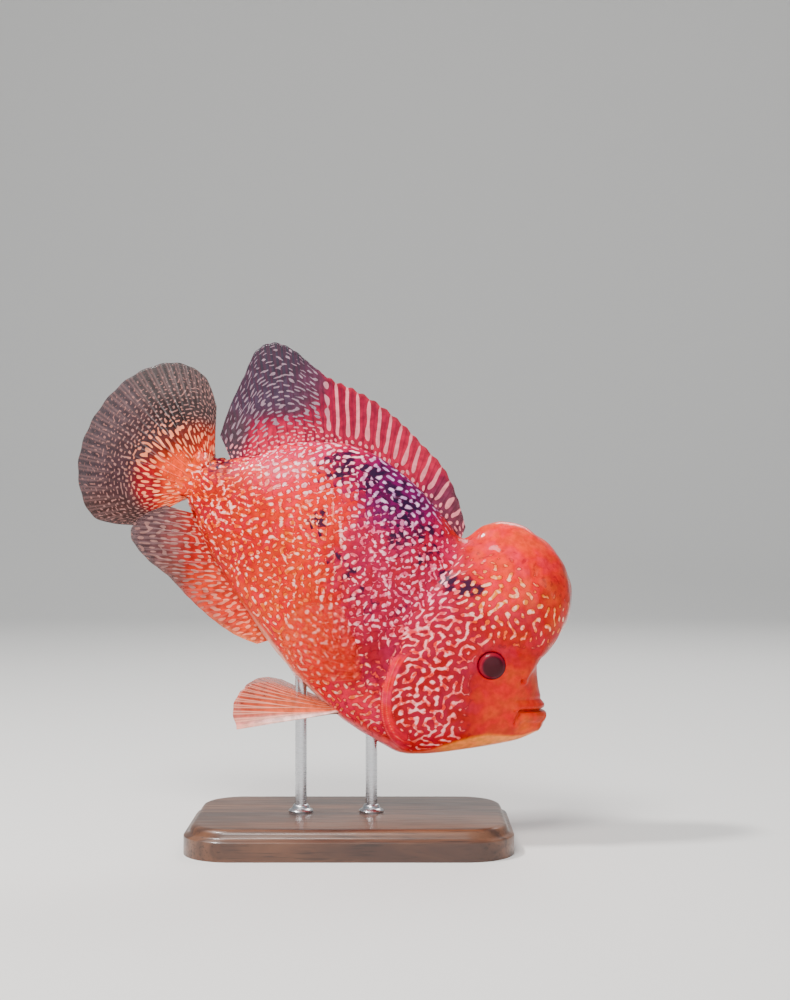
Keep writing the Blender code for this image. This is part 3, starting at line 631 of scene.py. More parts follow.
# The scales are thin horny plates, rooted in the skin in staggered rows, each lying over the next
# one back. Their free edges are round, and they are smaller towards the tail. They're set over the
# skin by Geometry Nodes, with a small turn and size of their own.
SCALE_HALF_WIDTH, SCALE_FRONT, SCALE_REAR = 3.05, -2.6, 3.3
SCALE_ACROSS, SCALE_ALONG = 8, 6
SCALE_TURN, SCALE_SPREAD, SCALE_SEED = 0.07, 0.05, 5
T_STEP, PATCH_PER_MM = 0.05, 0.0005


def scale_shape():
    """One scale: x to its free rear edge, y across, z out of the body, in millimetres."""
    across = np.linspace(-1, 1, SCALE_ACROSS + 1)
    back = np.linspace(0, 1, SCALE_ALONG + 1) ** 0.75
    q, p = np.meshgrid(across, back)
    width = SCALE_HALF_WIDTH * (0.7 + 0.3 * np.sin(math.pi * np.clip(p * 0.8 + 0.12, 0, 1)))
    rear = SCALE_REAR * np.sqrt(1 - (0.9 * q) ** 2) - 0.55
    front = SCALE_FRONT + 0.5 * q**2
    x = front + (rear - front) * p
    y = width * q
    z = -0.44 + 0.66 * ramp(x, SCALE_FRONT, SCALE_REAR) - 0.03 * y**2
    grid = np.stack([x, y, z], -1)
    rows, cols = grid.shape[:2]
    at = np.arange(rows * cols).reshape(rows, cols)
    faces = [(at[i, j], at[i + 1, j], at[i + 1, j + 1], at[i, j + 1])
             for i in range(rows - 1) for j in range(cols - 1)]
    faces.append([*at[0], *at[1:, -1], *at[-1, -2::-1], *at[-2:0:-1, 0]])
    return grid.reshape(-1, 3), faces


def scale_roots():
    """Sections, girth shares and rows of the scales' middles, on both flanks."""
    t_found, share_found = [], []
    for i in range(-2, 54):
        for j in range(-11, 12):
            if (i + j) % 2:
                continue
            want_s, want_v = i * SCALE_LONG / 2, j * SCALE_HIGH / 2
            t = np.interp(want_s, flank_line[:, 1, 0], dense_t)
            for _ in range(6):
                girth = np.interp(t, sections, half_girth)
                half = MIDDLE_ROW + want_v / girth
                if not 0.004 < half < 0.996:
                    break
                here, ahead = read_off(body_s, np.array([t, t + T_STEP]), np.array([half / 2, half / 2]))
                t = np.clip(t + (want_s - here) * T_STEP / max(ahead - here, 0.02), 0, 13)
            else:
                t_found.append(t)
                share_found.append(half / 2)
    return np.array(t_found), np.array(share_found)


half_t, half_q = scale_roots()
root_t, root_share = np.concatenate([half_t, half_t]), np.concatenate([half_q, 1 - half_q])
root_point = read_off(body, root_t, root_share)
gill_line = 101.5 + 7.5 * bump(root_point[:, 2], -27, 15) + 2 * bump(root_point[:, 2], 12, 8)
kept = np.flatnonzero((root_point[:, 0] < gill_line) & (root_point[:, 0] > -8))
kept = kept[np.argsort(-root_point[kept, 0])]
root_t, root_share, root_point = root_t[kept], root_share[kept], root_point[kept]
root_normal = read_off(body_normal, root_t, root_share)
step_back = root_point - read_off(body, root_t + T_STEP, root_share)
step_back /= np.linalg.norm(step_back, axis=1, keepdims=True)
left_side = root_point[:, 1] > 0

leaf_points, leaf_faces = scale_shape()
leaf = add_object("scale_shape", leaf_points * MM, leaf_faces)


def coat_tree():
    """Sets one shape on every root, laid along the body, and joins them into one mesh."""
    tree = bpy.data.node_groups.new("scale_coat", "GeometryNodeTree")
    tree.interface.new_socket("Geometry", in_out="OUTPUT", socket_type="NodeSocketGeometry")
    keys = {}
    for word, label, kind in (("roots", "Roots", "Geometry"), ("shape", "Scale Shape", "Object"),
                              ("finish", "Finish", "Material"), ("turn", "Turn", "Float"),
                              ("spread", "Size Spread", "Float"), ("seed", "Seed", "Int")):
        made = tree.interface.new_socket(label, in_out="INPUT", socket_type="NodeSocket" + kind)
        keys[word] = made.identifier
    given = tree.nodes.new("NodeGroupInput").outputs
    upward, rearward, size = [
        add(tree, "GeometryNodeInputNamedAttribute", {"Name": word}, data_type=kind).outputs[0]
        for word, kind in (("upward", "FLOAT_VECTOR"), ("rearward", "FLOAT_VECTOR"), ("size", "FLOAT"))]
    stand = add(tree, "FunctionNodeAlignRotationToVector", {"Vector": upward}, axis="Z")
    lie = add(tree, "FunctionNodeAlignRotationToVector",
              {"Rotation": stand.outputs[0], "Vector": rearward}, axis="X", pivot_axis="Z")

    def chance(low, high):
        return add(tree, "FunctionNodeRandomValue", {2: low, 3: high, "Seed": given["Seed"]}).outputs[1]

    spin = add(tree, "ShaderNodeCombineXYZ", {"Z": chance(times(tree, given["Turn"], -1.0), given["Turn"])})
    turned = add(tree, "FunctionNodeRotateRotation",
                 {"Rotation": lie.outputs[0], "Rotate By": spin.outputs[0]}, rotation_space="LOCAL")
    least = summed(tree, 1.0, given["Size Spread"], "SUBTRACT")
    spread = chance(least, summed(tree, 1.0, given["Size Spread"]))
    shape = add(tree, "GeometryNodeObjectInfo", {"Object": given["Scale Shape"]})
    laid = add(tree, "GeometryNodeInstanceOnPoints",
               {"Points": given["Roots"], "Instance": shape.outputs["Geometry"],
                "Rotation": turned.outputs[0], "Scale": times(tree, size, spread)})
    joined = add(tree, "GeometryNodeRealizeInstances", {0: laid.outputs[0]})
    dressed = add(tree, "GeometryNodeSetMaterial",
                  {"Geometry": joined.outputs[0], "Material": given["Finish"]})
    end = tree.nodes.new("NodeGroupOutput")
    tree.links.new(dressed.outputs[0], end.inputs[0])
    return tree, keys


scale_tree, scale_keys = coat_tree()
scale_finish = fish_finish("scale_plate", 0.1)


def lay_scales(name, chosen):
    """The chosen scales as one mesh, with their markings and a bake patch for each at its root."""
    points, normals = root_point[chosen], root_normal[chosen]
    at = placed(points)
    roots = add_object(name + "_roots", at, [])
    size = 1 - 0.2 * ramp(points[:, 0], 20, -4)
    for word, values in (("upward", placed(points + normals) - at),
                         ("rearward", placed(points + step_back[chosen]) - at)):
        layer = roots.data.attributes.new(word, "FLOAT_VECTOR", "POINT")
        layer.data.foreach_set("vector", (values / MM).astype(np.float32).ravel())
    store(roots, "size", size)
    setter = roots.modifiers.new("coat", "NODES")
    setter.node_group = scale_tree
    for word, value in (("shape", leaf), ("finish", scale_finish), ("turn", SCALE_TURN),
                        ("spread", SCALE_SPREAD), ("seed", SCALE_SEED)):
        setter[scale_keys[word]] = value
    data = bpy.data.meshes.new_from_object(roots.evaluated_get(bpy.context.evaluated_depsgraph_get()))
    bpy.data.objects.remove(roots)
    data.name = name
    made = linked(name, data)
    for word in ("upward", "rearward", "size"):
        if word in data.attributes:
            data.attributes.remove(data.attributes[word])
    data.shade_smooth()
    data.set_sharp_from_angle(angle=math.radians(50))
    per = len(leaf_points)
    side = np.where(left_side[chosen], 1, -1)
    x = (size[:, None] * leaf_points[None, :, 0]).ravel()
    y = (size[:, None] * leaf_points[None, :, 1] * side[:, None]).ravel()
    t0, share0 = np.repeat(root_t[chosen], per), np.repeat(root_share[chosen], per)
    rate = (read_off(body_s, t0 + T_STEP, share0) - read_off(body_s, t0, share0)) / T_STEP
    t = np.clip(t0 - x / np.maximum(rate, 2), 0, sections[-1])
    share = share0 - y / (2 * np.interp(t0, sections, half_girth))
    spot = read_off(body, t, share)
    store_marks(made, spot[:, 0], spot[:, 2], t, share)
    corner = np.empty(len(data.loops), np.int32)
    data.loops.foreach_get("vertex_index", corner)
    patch = np.stack([t0 / (len(BACK) - 1) + x * PATCH_PER_MM, share0 + y * PATCH_PER_MM], -1)
    layer = data.uv_layers.new(name="OFBake")
    layer.data.foreach_set("uv", patch[corner].astype(np.float32).ravel())
    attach(made, "root")


front_half = root_point[:, 0] > 52
for side_word, on_side in (("left", left_side), ("right", ~left_side)):
    for end_word, on_end in (("front", front_half), ("rear", ~front_half)):
        lay_scales(f"scales_{side_word}_{end_word}", on_side & on_end)
bpy.data.objects.remove(leaf)

# The eyes are wet balls set deep in the orbits: a wide dark pupil, looking a little forward, in a
# crimson iris with a thin dark rim, all under the clear cornea.
EYE_RINGS, EYE_SPOKES = 40, 64


def eye_ball(side, word):
    low, high = (np.array(corner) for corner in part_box(f"eye_{word}"))
    centre, radius = (low + high) / 2, (high[1] - low[1]) / 2
    angle = math.pi * (np.arange(1, EYE_RINGS) / EYE_RINGS) ** 1.4
    spoke = 2 * math.pi * np.arange(EYE_SPOKES) / EYE_SPOKES
    a, b = np.meshgrid(angle, spoke, indexing="ij")
    out = np.cos(a) - 0.03 * np.exp(-(a / 0.42) ** 8)
    ball = np.stack([np.sin(a) * np.cos(b), side * out, np.sin(a) * np.sin(b)], -1) * radius + centre
    poles = [centre + [0, side * radius * 0.97, 0], centre - [0, side * radius, 0]]
    points = np.concatenate([ball.reshape(-1, 3), poles])
    made = add_object(f"eyeball_{word}", points, closed_faces(len(angle), EYE_SPOKES, side > 0))
    forward = np.array([math.cos(PITCH), 0, -math.sin(PITCH)])
    look = centre + 1.0 * MM * forward
    off = (points - look) * [1, 0, 1]
    store(made, "from_pupil", np.linalg.norm(off, axis=1) / MM + 20 * ((points - centre)[:, 1] * side < 0))
    store(made, "from_middle", np.linalg.norm((points - centre) * [1, 0, 1], axis=1) / MM)
    return made


def eye_finish():
    made, tree, shader = begin_finish("wet_eye")
    off = summed(tree, read(tree, "from_pupil"), times(tree, noise(tree, 0.7, 3), 0.5))
    iris = mixed(tree, graded(tree, off, 4.2, 5.6), opaque(84, 2, 28), opaque(150, 10, 36))
    colour = mixed(tree, graded(tree, off, 3.9, 4.7), opaque(58, 4, 16), iris)
    colour = mixed(tree, graded(tree, read(tree, "from_middle"), 4.9, 5.5), colour, opaque(60, 8, 24))
    fill(tree, shader, {"Base Color": colour, "Roughness": 0.4, "IOR": 1.2, "Coat Weight": 0.7,
                        "Coat IOR": 1.2, "Coat Roughness": 0.02})
    return made


wet_eye = eye_finish()
for side, word in ((1, "left"), (-1, "right")):
    ball = eye_ball(side, word)
    ball.data.materials.append(wet_eye)
    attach(ball, "root")
    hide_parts(f"eye_{word}")

# The fins are thin skin stretched over bony rays. The spines of the front dorsal are single, and the
# soft rays split in two and in four towards the margin. Each fin is rooted in the back or the belly.
SPINY_ROOT = [100.4, 90, 80, 70, 60, 51, 42.5, 34.8]
SPINY_EDGE = [(99.4, 45.4), (90.2, 53.2), (78.2, 60.4), (65, 63.4), (53, 65.8), (41, 66.8), (29, 66),
              (18.5, 64.2)]
SOFT_ROOT = [34.2, 29, 24, 19.5, 15, 10.5, 6.5, 3]
SOFT_EDGE = [(17.6, 64.1), (8, 64.4), (-2.5, 65.3), (-11.5, 63.2), (-15.6, 56), (-13, 44.5), (-10, 31),
             (-6, 18.5)]
ANAL_ROOT = [59, 51.5, 44, 36.5, 29, 21.5, 14.5, 8.5, 3.5]
ANAL_EDGE = [(56.2, -43.4), (46.5, -45.6), (35, -45.8), (22, -44.3), (9.5, -41.9), (-2.5, -41.2),
             (-13.5, -37.6), (-15, -29.5), (-8.5, -18.5)]
TAIL_ROOT_S = -3.3
TAIL_ROOT_H = [9.6, 4.6, -0.9, -6.4, -11.4]
TAIL_EDGE = [(-15.5, 27.5), (-29.5, 35.2), (-45.5, 31.5), (-56.5, 15), (-58, -8), (-50.5, -28.5),
             (-34, -40.5), (-15.5, -33)]
PECTORAL_ROOT = [(90.6, -19.2), (93.4, -22.4), (96, -25.8), (98.2, -29.4)]
PECTORAL_EDGE = [(76, -8), (66.5, -12.5), (61.8, -21), (62.5, -30), (69, -39), (79.5, -45)]
PECTORAL_OUT, PECTORAL_FLARE, PECTORAL_FLARE_STEP = 0.3, 19.0, 1.2
PELVIC_ROOT = [(99.6, 7.4), (97.6, 6.3), (95.6, 5.2), (93.6, 4.2)]
PELVIC_EDGE = [(69.5, -74.5), (63.5, -69), (62, -61.5), (66, -54.5), (73, -50.6)]
PELVIC_SPREAD, PELVIC_SPREAD_STEP = 16.0, 1.7
PER_RAY = 24
SUNK = 1.2
BRANCH_OUTER, BRANCH_INNER = 6 / 24, 2 / 24


def grow_fin_marks(sheet, across, length, lean, seed):
    """Markings grown on a fin's own sheet, spaced by across over the rays and by length along them."""
    gaps = [np.maximum(np.linalg.norm(np.gradient(sheet, axis=axis), axis=2), 0.2) for axis in (0, 1)]
    reaches = [np.broadcast_to(pitch, gaps[0].shape) / PITCH_TO_REACH for pitch in (across, length)]

    def soften(field, spread):
        shares = [spread * reach**2 / 2 / gap**2 for reach, gap in zip(reaches, gaps)]
        steps = int(np.ceil((shares[0] + shares[1]).max() / 0.45))
        for _ in range(steps):
            padded = np.pad(field, 1, mode="edge")
            field = (field + shares[0] / steps * (padded[2:, 1:-1] + padded[:-2, 1:-1] - 2 * field)
                     + shares[1] / steps * (padded[1:-1, 2:] + padded[1:-1, :-2] - 2 * field))
        return field

    field = np.random.default_rng(seed).normal(0, FIRST_NOISE, gaps[0].shape)
    for _ in range(FIN_ROUNDS):
        drive = GAIN * (soften(field, 1) - soften(field, SPREAD)) + lean
        field = np.tanh(drive)
    return np.clip(drive, -MARK_LIMIT, MARK_LIMIT)


class Fin:
    """A closed fin with raised rays, spread between its root and its tips."""

    def __init__(self, name, roots, tips, rays, rows, spines=0, sway=None, arch=0.0, sink=SUNK,
                 ray_half=0.42, web_half=0.15, foot=0.5, notch=0.008):
        phase = np.linspace(0, rays - 1, (rays - 1) * PER_RAY + 1)
        v = np.linspace(0, 1, rows + 1)
        place_on = phase / (rays - 1) * (len(roots) - 1) if not spines else np.interp(
            phase, [0, spines - 1, rays - 1], [0, SPINY_LAST, len(roots) - 1])
        root = along(roots, place_on)
        tip = along(tips, place_on if len(tips) == len(roots) else phase / (rays - 1) * (len(tips) - 1))
        inward = root - tip
        inward /= np.linalg.norm(inward, axis=1, keepdims=True)
        spiny = ramp(phase, spines - 0.2, spines - 0.8)[:, None] if spines else np.zeros((len(phase), 1))
        depth = notch + 0.03 * spiny
        tip = tip + (root - tip) * depth * np.sin(math.pi * phase[:, None]) ** 2
        root = root + inward * sink
        middle = root[:, None] + (tip - root)[:, None] * v[None, :, None]
        side = sway(phase) if sway else np.zeros(len(phase))
        middle[:, :, 1] += side[:, None] * v**1.5 + arch * np.sin(math.pi * v)
        from_ray = (phase - np.round(phase))[:, None]
        outer, inner = BRANCH_OUTER * ramp(v, 0.22, 0.75), BRANCH_INNER * ramp(v, 0.5, 0.95)
        soft_ray = np.zeros((len(phase), len(v)))
        for one in (-1, 1):
            for two in (-1, 1):
                soft_ray = np.maximum(soft_ray, bump(from_ray, one * outer + two * inner, 0.055))
        spine = bump(from_ray, 0, 0.1 * (1 - 0.5 * v))
        self.ray = spine * spiny + soft_ray * (1 - spiny)
        length = np.linalg.norm(tip - root, axis=1)[:, None] * v
        half = web_half * (1 - 0.6 * v) + (ray_half - web_half) * self.ray * (1 - 0.8 * v)
        half = half + foot * np.exp(-((length - sink) / 2.2) ** 2)
        normal = np.cross(np.gradient(middle, axis=0), np.gradient(middle, axis=1))
        normal /= np.maximum(np.linalg.norm(normal, axis=2, keepdims=True), 1e-9)
        self.middle, self.v = middle, np.broadcast_to(v, half.shape)
        self.phase = np.broadcast_to(phase[:, None], half.shape)
        self.reach = length - sink
        self.left = np.linalg.norm(tip - root, axis=1)[:, None] * (1 - v)
        self.s, self.h = middle[:, :, 0], middle[:, :, 2]
        sides = [placed(middle + normal * half[..., None]), placed(middle - normal * half[..., None])]
        n, m = half.shape
        at = np.arange(n * m).reshape(n, m)
        quads = np.stack([at[:-1, :-1], at[1:, :-1], at[1:, 1:], at[:-1, 1:]], -1).reshape(-1, 4)
        rim = [*at[:, 0], *at[-1, 1:], *at[-2::-1, -1], *at[0, -2:0:-1]]
        faces = quads.tolist() + (quads[:, ::-1] + n * m).tolist()
        for j, a in enumerate(rim):
            b = rim[(j + 1) % len(rim)]
            faces.append((b, a, a + n * m, b + n * m))
        self.made = add_object(name, np.concatenate([side.reshape(-1, 3) for side in sides]), faces)

    def keep(self, word, values, kind="FLOAT"):
        values = np.broadcast_to(values, self.s.shape + ((3,) if kind == "FLOAT_COLOR" else ()))
        flat = values.reshape(-1, 3) if kind == "FLOAT_COLOR" else values.ravel()
        store(self.made, word, np.concatenate([flat, flat]), kind)

    def dress(self, finish, ground, pale, mark, solid, ray_tone, ray_show, *nodes):
        """Stores what the finish reads, and hands the fin in for its CAD nodes."""
        for word, values in (("mark", mark), ("solid", np.clip(solid, 0, 1)), ("ray", self.ray * ray_show)):
            self.keep(word, values)
        for word, values in (("ground", ground), ("pale", pale), ("ray_tone", ray_tone)):
            self.keep(word, values, "FLOAT_COLOR")
        self.made.data.materials.append(finish)
        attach(self.made, "root")
        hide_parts(*nodes)


def fin_finish(name):
    """Thin skin over rays: dusky or rosy web, pale marks, and a margin that lets light through."""
    made, tree, shader = begin_finish(name)
    field, grain, _ = roughened_marks(tree, 0.5)
    mottle, ray = noise(tree, 2.8, 3), read(tree, "ray")
    ground = tinted(tree, read(tree, "ground", "Color"), Value=graded(tree, mottle, 0.3, 0.7, 0.72, 1.25),
                    Saturation=1.1)
    ground = mixed(tree, ray, ground, read(tree, "ray_tone", "Color"))
    rim = times(tree, dark_rim(tree, field, -0.9), 0.45)
    ground = mixed(tree, rim, ground, tinted(tree, ground, Value=0.5))
    mark = graded(tree, field, -0.1, 0.5)
    pale = tinted(tree, read(tree, "pale", "Color"), Value=graded(tree, mottle, 0.35, 0.65, 0.78, 1.05))
    solid = summed(tree, read(tree, "solid"), times(tree, mark, 0.2))
    solid = summed(tree, solid, times(tree, ray, 0.25))
    height = summed(tree, times(tree, mark, 0.4), grain)
    fill(tree, shader, {
        "Base Color": mixed(tree, mark, ground, pale), "Roughness": 0.4, "IOR": 1.2,
        "Alpha": add(tree, "ShaderNodeClamp", {0: solid}).outputs[0], "Coat Weight": 0.25,
        "Coat IOR": 1.36, "Coat Roughness": 0.12, "Normal": dented(tree, height, 0.12, 0.5)})
    return made


def in_plane(points):
    return [(s, 0, h) for s, h in points]


def on_edge(stations, line):
    curve = along(line, np.linspace(0, 11, 400))
    return [(s, 0, np.interp(s, curve[:, 0], curve[:, 1])) for s in stations]


def toned(low, high, share):
    """low turning to high as share goes from 0 to 1, for colours in sRGB."""
    return linear(low) + (linear(high) - linear(low)) * share[..., None]


fin_skin = fin_finish("fin_web")

# Dorsal fin: spines in front with long pale stripes between them and a red margin, then a tall dusky
# lobe of soft rays with rows of lilac dashes.
SPINES, SOFT_RAYS, SPINY_LAST = 16, 12, 7
DORSAL = {
    "foot": (60, 50, 14, (176, 30, 60)), "stripes": (45, 58, 12, (146, 34, 58)),
    "rear stripes": (26, 57, 8, (140, 38, 58)), "front foot": (84, 46, 9, (108, 42, 66)),
    "front": (92, 49, 8, (104, 52, 64)), "soft foot": (14, 30, 8, (180, 18, 56)),
    "soft foot front": (27, 47, 7, (150, 30, 56)), "lobe": (2, 44, 10, (60, 44, 60)),
    "lobe front": (14, 56, 8, (74, 44, 60)), "lobe top": (-6, 58, 10, (42, 34, 46)),
    "rear edge": (-9, 42, 7, (56, 42, 56)), "rear foot": (-3, 22, 6, (66, 48, 56)),
}


def dorsal_sway(phase):
    front, rear = phase / (SPINES - 1), (phase - SPINES + 1) / SOFT_RAYS
    return np.where(front < 1, 1.2 * np.sin(2 * math.pi * front), 2.0 * np.sin(1.5 * math.pi * rear))


fin = Fin("dorsal_fin", on_edge(SPINY_ROOT, BACK) + on_edge(SOFT_ROOT[1:], BACK),
          in_plane(SPINY_EDGE) + in_plane(SOFT_EDGE[1:]), SPINES + SOFT_RAYS, 56, spines=SPINES,
          sway=dorsal_sway)
soft = ramp(fin.phase, SPINES - 1.8, SPINES + 0.6)
up_fin = ramp(fin.reach, 1.5, 6) * (1 - soft)
stripes = np.cos(2 * math.pi * (fin.phase + 0.5)) * up_fin
mark = grow_fin_marks(fin.middle, 2.6 + 2.6 * soft * ramp(fin.reach, 2, 8) + 0.7 * up_fin,
                      3.0 + 6.5 * up_fin - 0.9 * soft, -0.5 + 0.24 * stripes, 3)
mark = mark - 1.2 * ramp(fin.left, 2.0, 0.6) * (1 - soft) - 0.8 * ramp(fin.v, 0.5, 1) * soft
rim = 0.7 * ramp(fin.left, 2.6, 0.8) * (1 - soft) * ramp(fin.s, 88, 78)
ground = over(painted(fin.s, fin.h, DORSAL), linear((168, 30, 56)), rim)
pale = toned((226, 128, 136), (138, 112, 124), soft * ramp(fin.reach, 3, 10))
fin.dress(fin_skin, ground, pale, mark, 1 - 0.2 * ramp(fin.left, 4, 0), linear((70, 26, 46)),
          0.45 * soft + 0.25, "dorsal_fin_spiny", "dorsal_fin_soft")

# Anal fin: thin red orange web rooted along the belly, with wavy pale lines along the rays, and a
# dusky mauve lobe at the rear.
ANAL = {
    "foot": (40, -34, 12, (200, 38, 30)), "front": (54, -41, 9, (214, 84, 62)),
    "middle": (30, -38, 10, (192, 56, 38)), "rear foot": (12, -24, 8, (164, 42, 40)),
    "lobe foot": (4, -28, 7, (116, 62, 60)), "lobe": (-4, -38, 9, (72, 50, 52)),
    "lobe tip": (-12, -32, 8, (76, 54, 56)), "lobe edge": (8, -41, 7, (100, 54, 48)),
}
fin = Fin("anal_fin_web", on_edge(ANAL_ROOT, BELLY), in_plane(ANAL_EDGE), 16, 46,
          sway=lambda phase: 1.8 * np.sin(0.1 * math.pi * phase))
mark = grow_fin_marks(fin.middle, 2.3, 5.2 - 2.2 * ramp(fin.reach, 6, 1), -0.36, 5)
lobe = ramp(fin.h + 0.9 * fin.s, 5, -28)
mark = mark - 0.5 * ramp(fin.left, 4, 0) - 0.4 * lobe
rim = ramp(fin.left, 3.0, 0.5) * (1 - lobe)
ground = over(painted(fin.s, fin.h, ANAL), linear((226, 116, 70)), rim)
fin.dress(fin_skin, ground, toned((246, 128, 98), (140, 98, 92), lobe), mark,
          1 - 0.35 * ramp(fin.left, 6, 0), toned((206, 96, 72), (150, 116, 116), lobe), 0.3, "anal_fin")

# Tail fin: orange at its root with cream strokes round it, then dusky with pale dots between the
# rays, and thin pale rays in a margin that lets light through.
TAIL = {
    "orange patch": (-14, -3, 7, (228, 62, 6)), "upper foot": (-8, 9, 5, (156, 46, 38)),
    "lower foot": (-8, -12, 5, (192, 54, 26)), "red fringe": (-21, -14, 6, (134, 34, 40)),
    "upper fringe": (-17, 9, 6, (104, 38, 32)), "middle fringe": (-24, 1, 5, (88, 36, 32)),
    "dark upper": (-30, 15, 8, (34, 22, 22)), "dusky middle": (-36, 0, 9, (58, 38, 40)),
    "upper lobe": (-28, 29, 9, (50, 38, 38)), "upper margin": (-43, 24, 9, (54, 46, 46)),
    "rear margin": (-53, 0, 10, (62, 50, 54)), "lower dusk": (-34, -22, 8, (60, 38, 42)),
    "lower lobe": (-30, -34, 9, (60, 38, 36)), "lower margin": (-46, -24, 9, (60, 48, 52)),
}
fin = Fin("tail_fin_web", [(TAIL_ROOT_S, 0, h) for h in TAIL_ROOT_H], in_plane(TAIL_EDGE), 17, 70,
          sway=lambda phase: 2.4 * np.sin(2.5 / 16 * math.pi * phase), sink=0.6, foot=1.4)
out = np.hypot(fin.s + 14, fin.h + 3)
strokes = ramp(out, 21, 15) * ramp(out, 5, 9)
mark = grow_fin_marks(fin.middle, 2.1, 2.3 + 3.6 * strokes, -0.5 + 0.15 * strokes, 9)
mark = mark - 0.5 * ramp(out, 20, 30) - 0.8 * ramp(out, 32, 46) - 1.8 * bump(out, 0, 6)
pale = toned((244, 130, 86), (140, 96, 90), ramp(out, 14, 25))
fin.dress(fin_skin, painted(fin.s, fin.h, TAIL), pale, mark,
          0.97 - 0.2 * ramp(fin.left, 10, 0), linear((128, 96, 94)), 0.4 * ramp(out, 24, 40), "tail_fin")

# Pectoral and pelvic fins: clear salmon web over thin pale rays, the pectorals rooted in the flank
# behind the gill and the pelvics in the belly. The pelvic's first ray is thick and nearly white.
tree_of_skin = BVHTree.FromPolygons([Vector(p) for p in placed(vertices)], skin_faces)
OUTSIDE, NO_MARKS = 90.0, -1.6


def way_to_skin(start, aim):
    """How far the skin lies from start towards aim, in millimetres."""
    start, aim = Vector(placed(start)), Vector(placed(aim))
    hit = tree_of_skin.ray_cast(start, (aim - start).normalized())[0]
    return (hit - start).length / MM


def flank_at(s, h):
    """How far the skin stands from the middle plane at (s, h)."""
    return OUTSIDE - way_to_skin([s, OUTSIDE, h], [s, 0, h])


def belly_under(s, y):
    """The h of the skin's underside at (s, y)."""
    return way_to_skin([s, y, -OUTSIDE], [s, y, 0]) - OUTSIDE


for side, word in ((1, "left"), (-1, "right")):
    roots = [(s, side * (flank_at(s, h) + PECTORAL_OUT), h) for s, h in PECTORAL_ROOT]
    tips = [(s, side * (flank_at(s, h) + PECTORAL_FLARE - PECTORAL_FLARE_STEP * k), h)
            for k, (s, h) in enumerate(PECTORAL_EDGE)]
    fin = Fin(f"pectoral_web_{word}", roots, tips, 11, 40, arch=1.5 * side, ray_half=0.3, web_half=0.1)
    fin.dress(fin_skin, toned((226, 62, 54), (234, 88, 70), fin.v), linear((250, 164, 146)), NO_MARKS,
              0.36 - 0.24 * ramp(fin.v, 0.05, 0.8), linear((246, 116, 96)), 0.5, f"pectoral_fin_{word}")
    roots = [(s, side * y, belly_under(s, side * y)) for s, y in PELVIC_ROOT]
    tips = [(s, side * (PELVIC_SPREAD - PELVIC_SPREAD_STEP * k), h) for k, (s, h) in enumerate(PELVIC_EDGE)]
    fin = Fin(f"pelvic_web_{word}", roots, tips, 7, 40, arch=side, ray_half=0.45, web_half=0.14)
    lead = ramp(fin.phase, 1.3, 0.3)
    web = toned((220, 112, 88), (180, 76, 62), ramp(fin.v, 0.45, 0.95))
    web = over(web, toned((250, 214, 208), (232, 150, 140), ramp(fin.v, 0.5, 1)), lead)
    fin.dress(fin_skin, web, linear((250, 206, 190)), NO_MARKS,
              0.9 - 0.35 * ramp(fin.phase, 1.5, 6) - 0.2 * fin.v + 0.3 * lead, linear((246, 176, 152)), 0.7,
              f"pelvic_fin_{word}")

# The stand is a dark oiled hardwood board, its edge cut to a moulding, with two bright turned steel
# rods. Each rod is let into the wood through a small collar and runs up to the belly.
WOOD_PROFILE = [(0, 0), (0, 7.4), (0.5, 8.0), (1.7, 8.4), (2.3, 9.2), (2.6, 10.3), (3.3, 11.3), (4.6, 11.9),
                (6.0, 12.0)]
COLLAR = [(2.6, -0.3), (2.7, 0.5), (2.3, 1.0), (1.2, 1.5), (0.9, 2.6), (0.5, 3.0), (0, 3.1), (0, 3.3)]
CORNER_STEPS, BASE_CORNER, ROD_SIDES = 14, 20.0, 40
CREASE = math.radians(35)


def stand_board():
    """A board with round corners, its edge cut to a moulding, from the CAD base's own box."""
    low, high = (np.array(corner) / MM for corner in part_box("stand_base"))
    half_x, half_y = (high - low)[0] / 2, (high - low)[1] / 2
    outline, facing = [], []
    for x, y, start in ((1, 1, 0), (-1, 1, 90), (-1, -1, 180), (1, -1, 270)):
        for k in range(CORNER_STEPS + 1):
            angle = math.radians(start + 90 * k / CORNER_STEPS)
            outline.append((x * (half_x - BASE_CORNER) + BASE_CORNER * math.cos(angle),
                            y * (half_y - BASE_CORNER) + BASE_CORNER * math.sin(angle)))
            facing.append((math.cos(angle), math.sin(angle)))
    outline, facing = np.array(outline), np.array(facing)
    rows = [np.column_stack([outline - facing * inset, np.full(len(outline), low[2] + height)])
            for inset, height in WOOD_PROFILE]
    middle = np.append((low + high)[:2] / 2, low[2] + WOOD_PROFILE[-1][1])
    rows.append(middle + (rows[-1] - middle) * 0.45)
    points = np.concatenate(rows + [[middle * [1, 1, 0], middle]])
    made = add_object("stand_board", points * MM, closed_faces(len(rows), len(outline), True))
    made.data.set_sharp_from_angle(angle=CREASE)
    return made


def stretched_noise(tree, stretch, **inputs):
    """Noise on the object's own lengths, drawn out along its axes."""
    where = add(tree, "ShaderNodeTexCoord").outputs["Object"]
    drawn = add(tree, "ShaderNodeMapping", {"Vector": where, "Scale": stretch}).outputs[0]
    return add(tree, "ShaderNodeTexNoise", {"Vector": drawn, "Scale": 1.0, **inputs}).outputs[0]


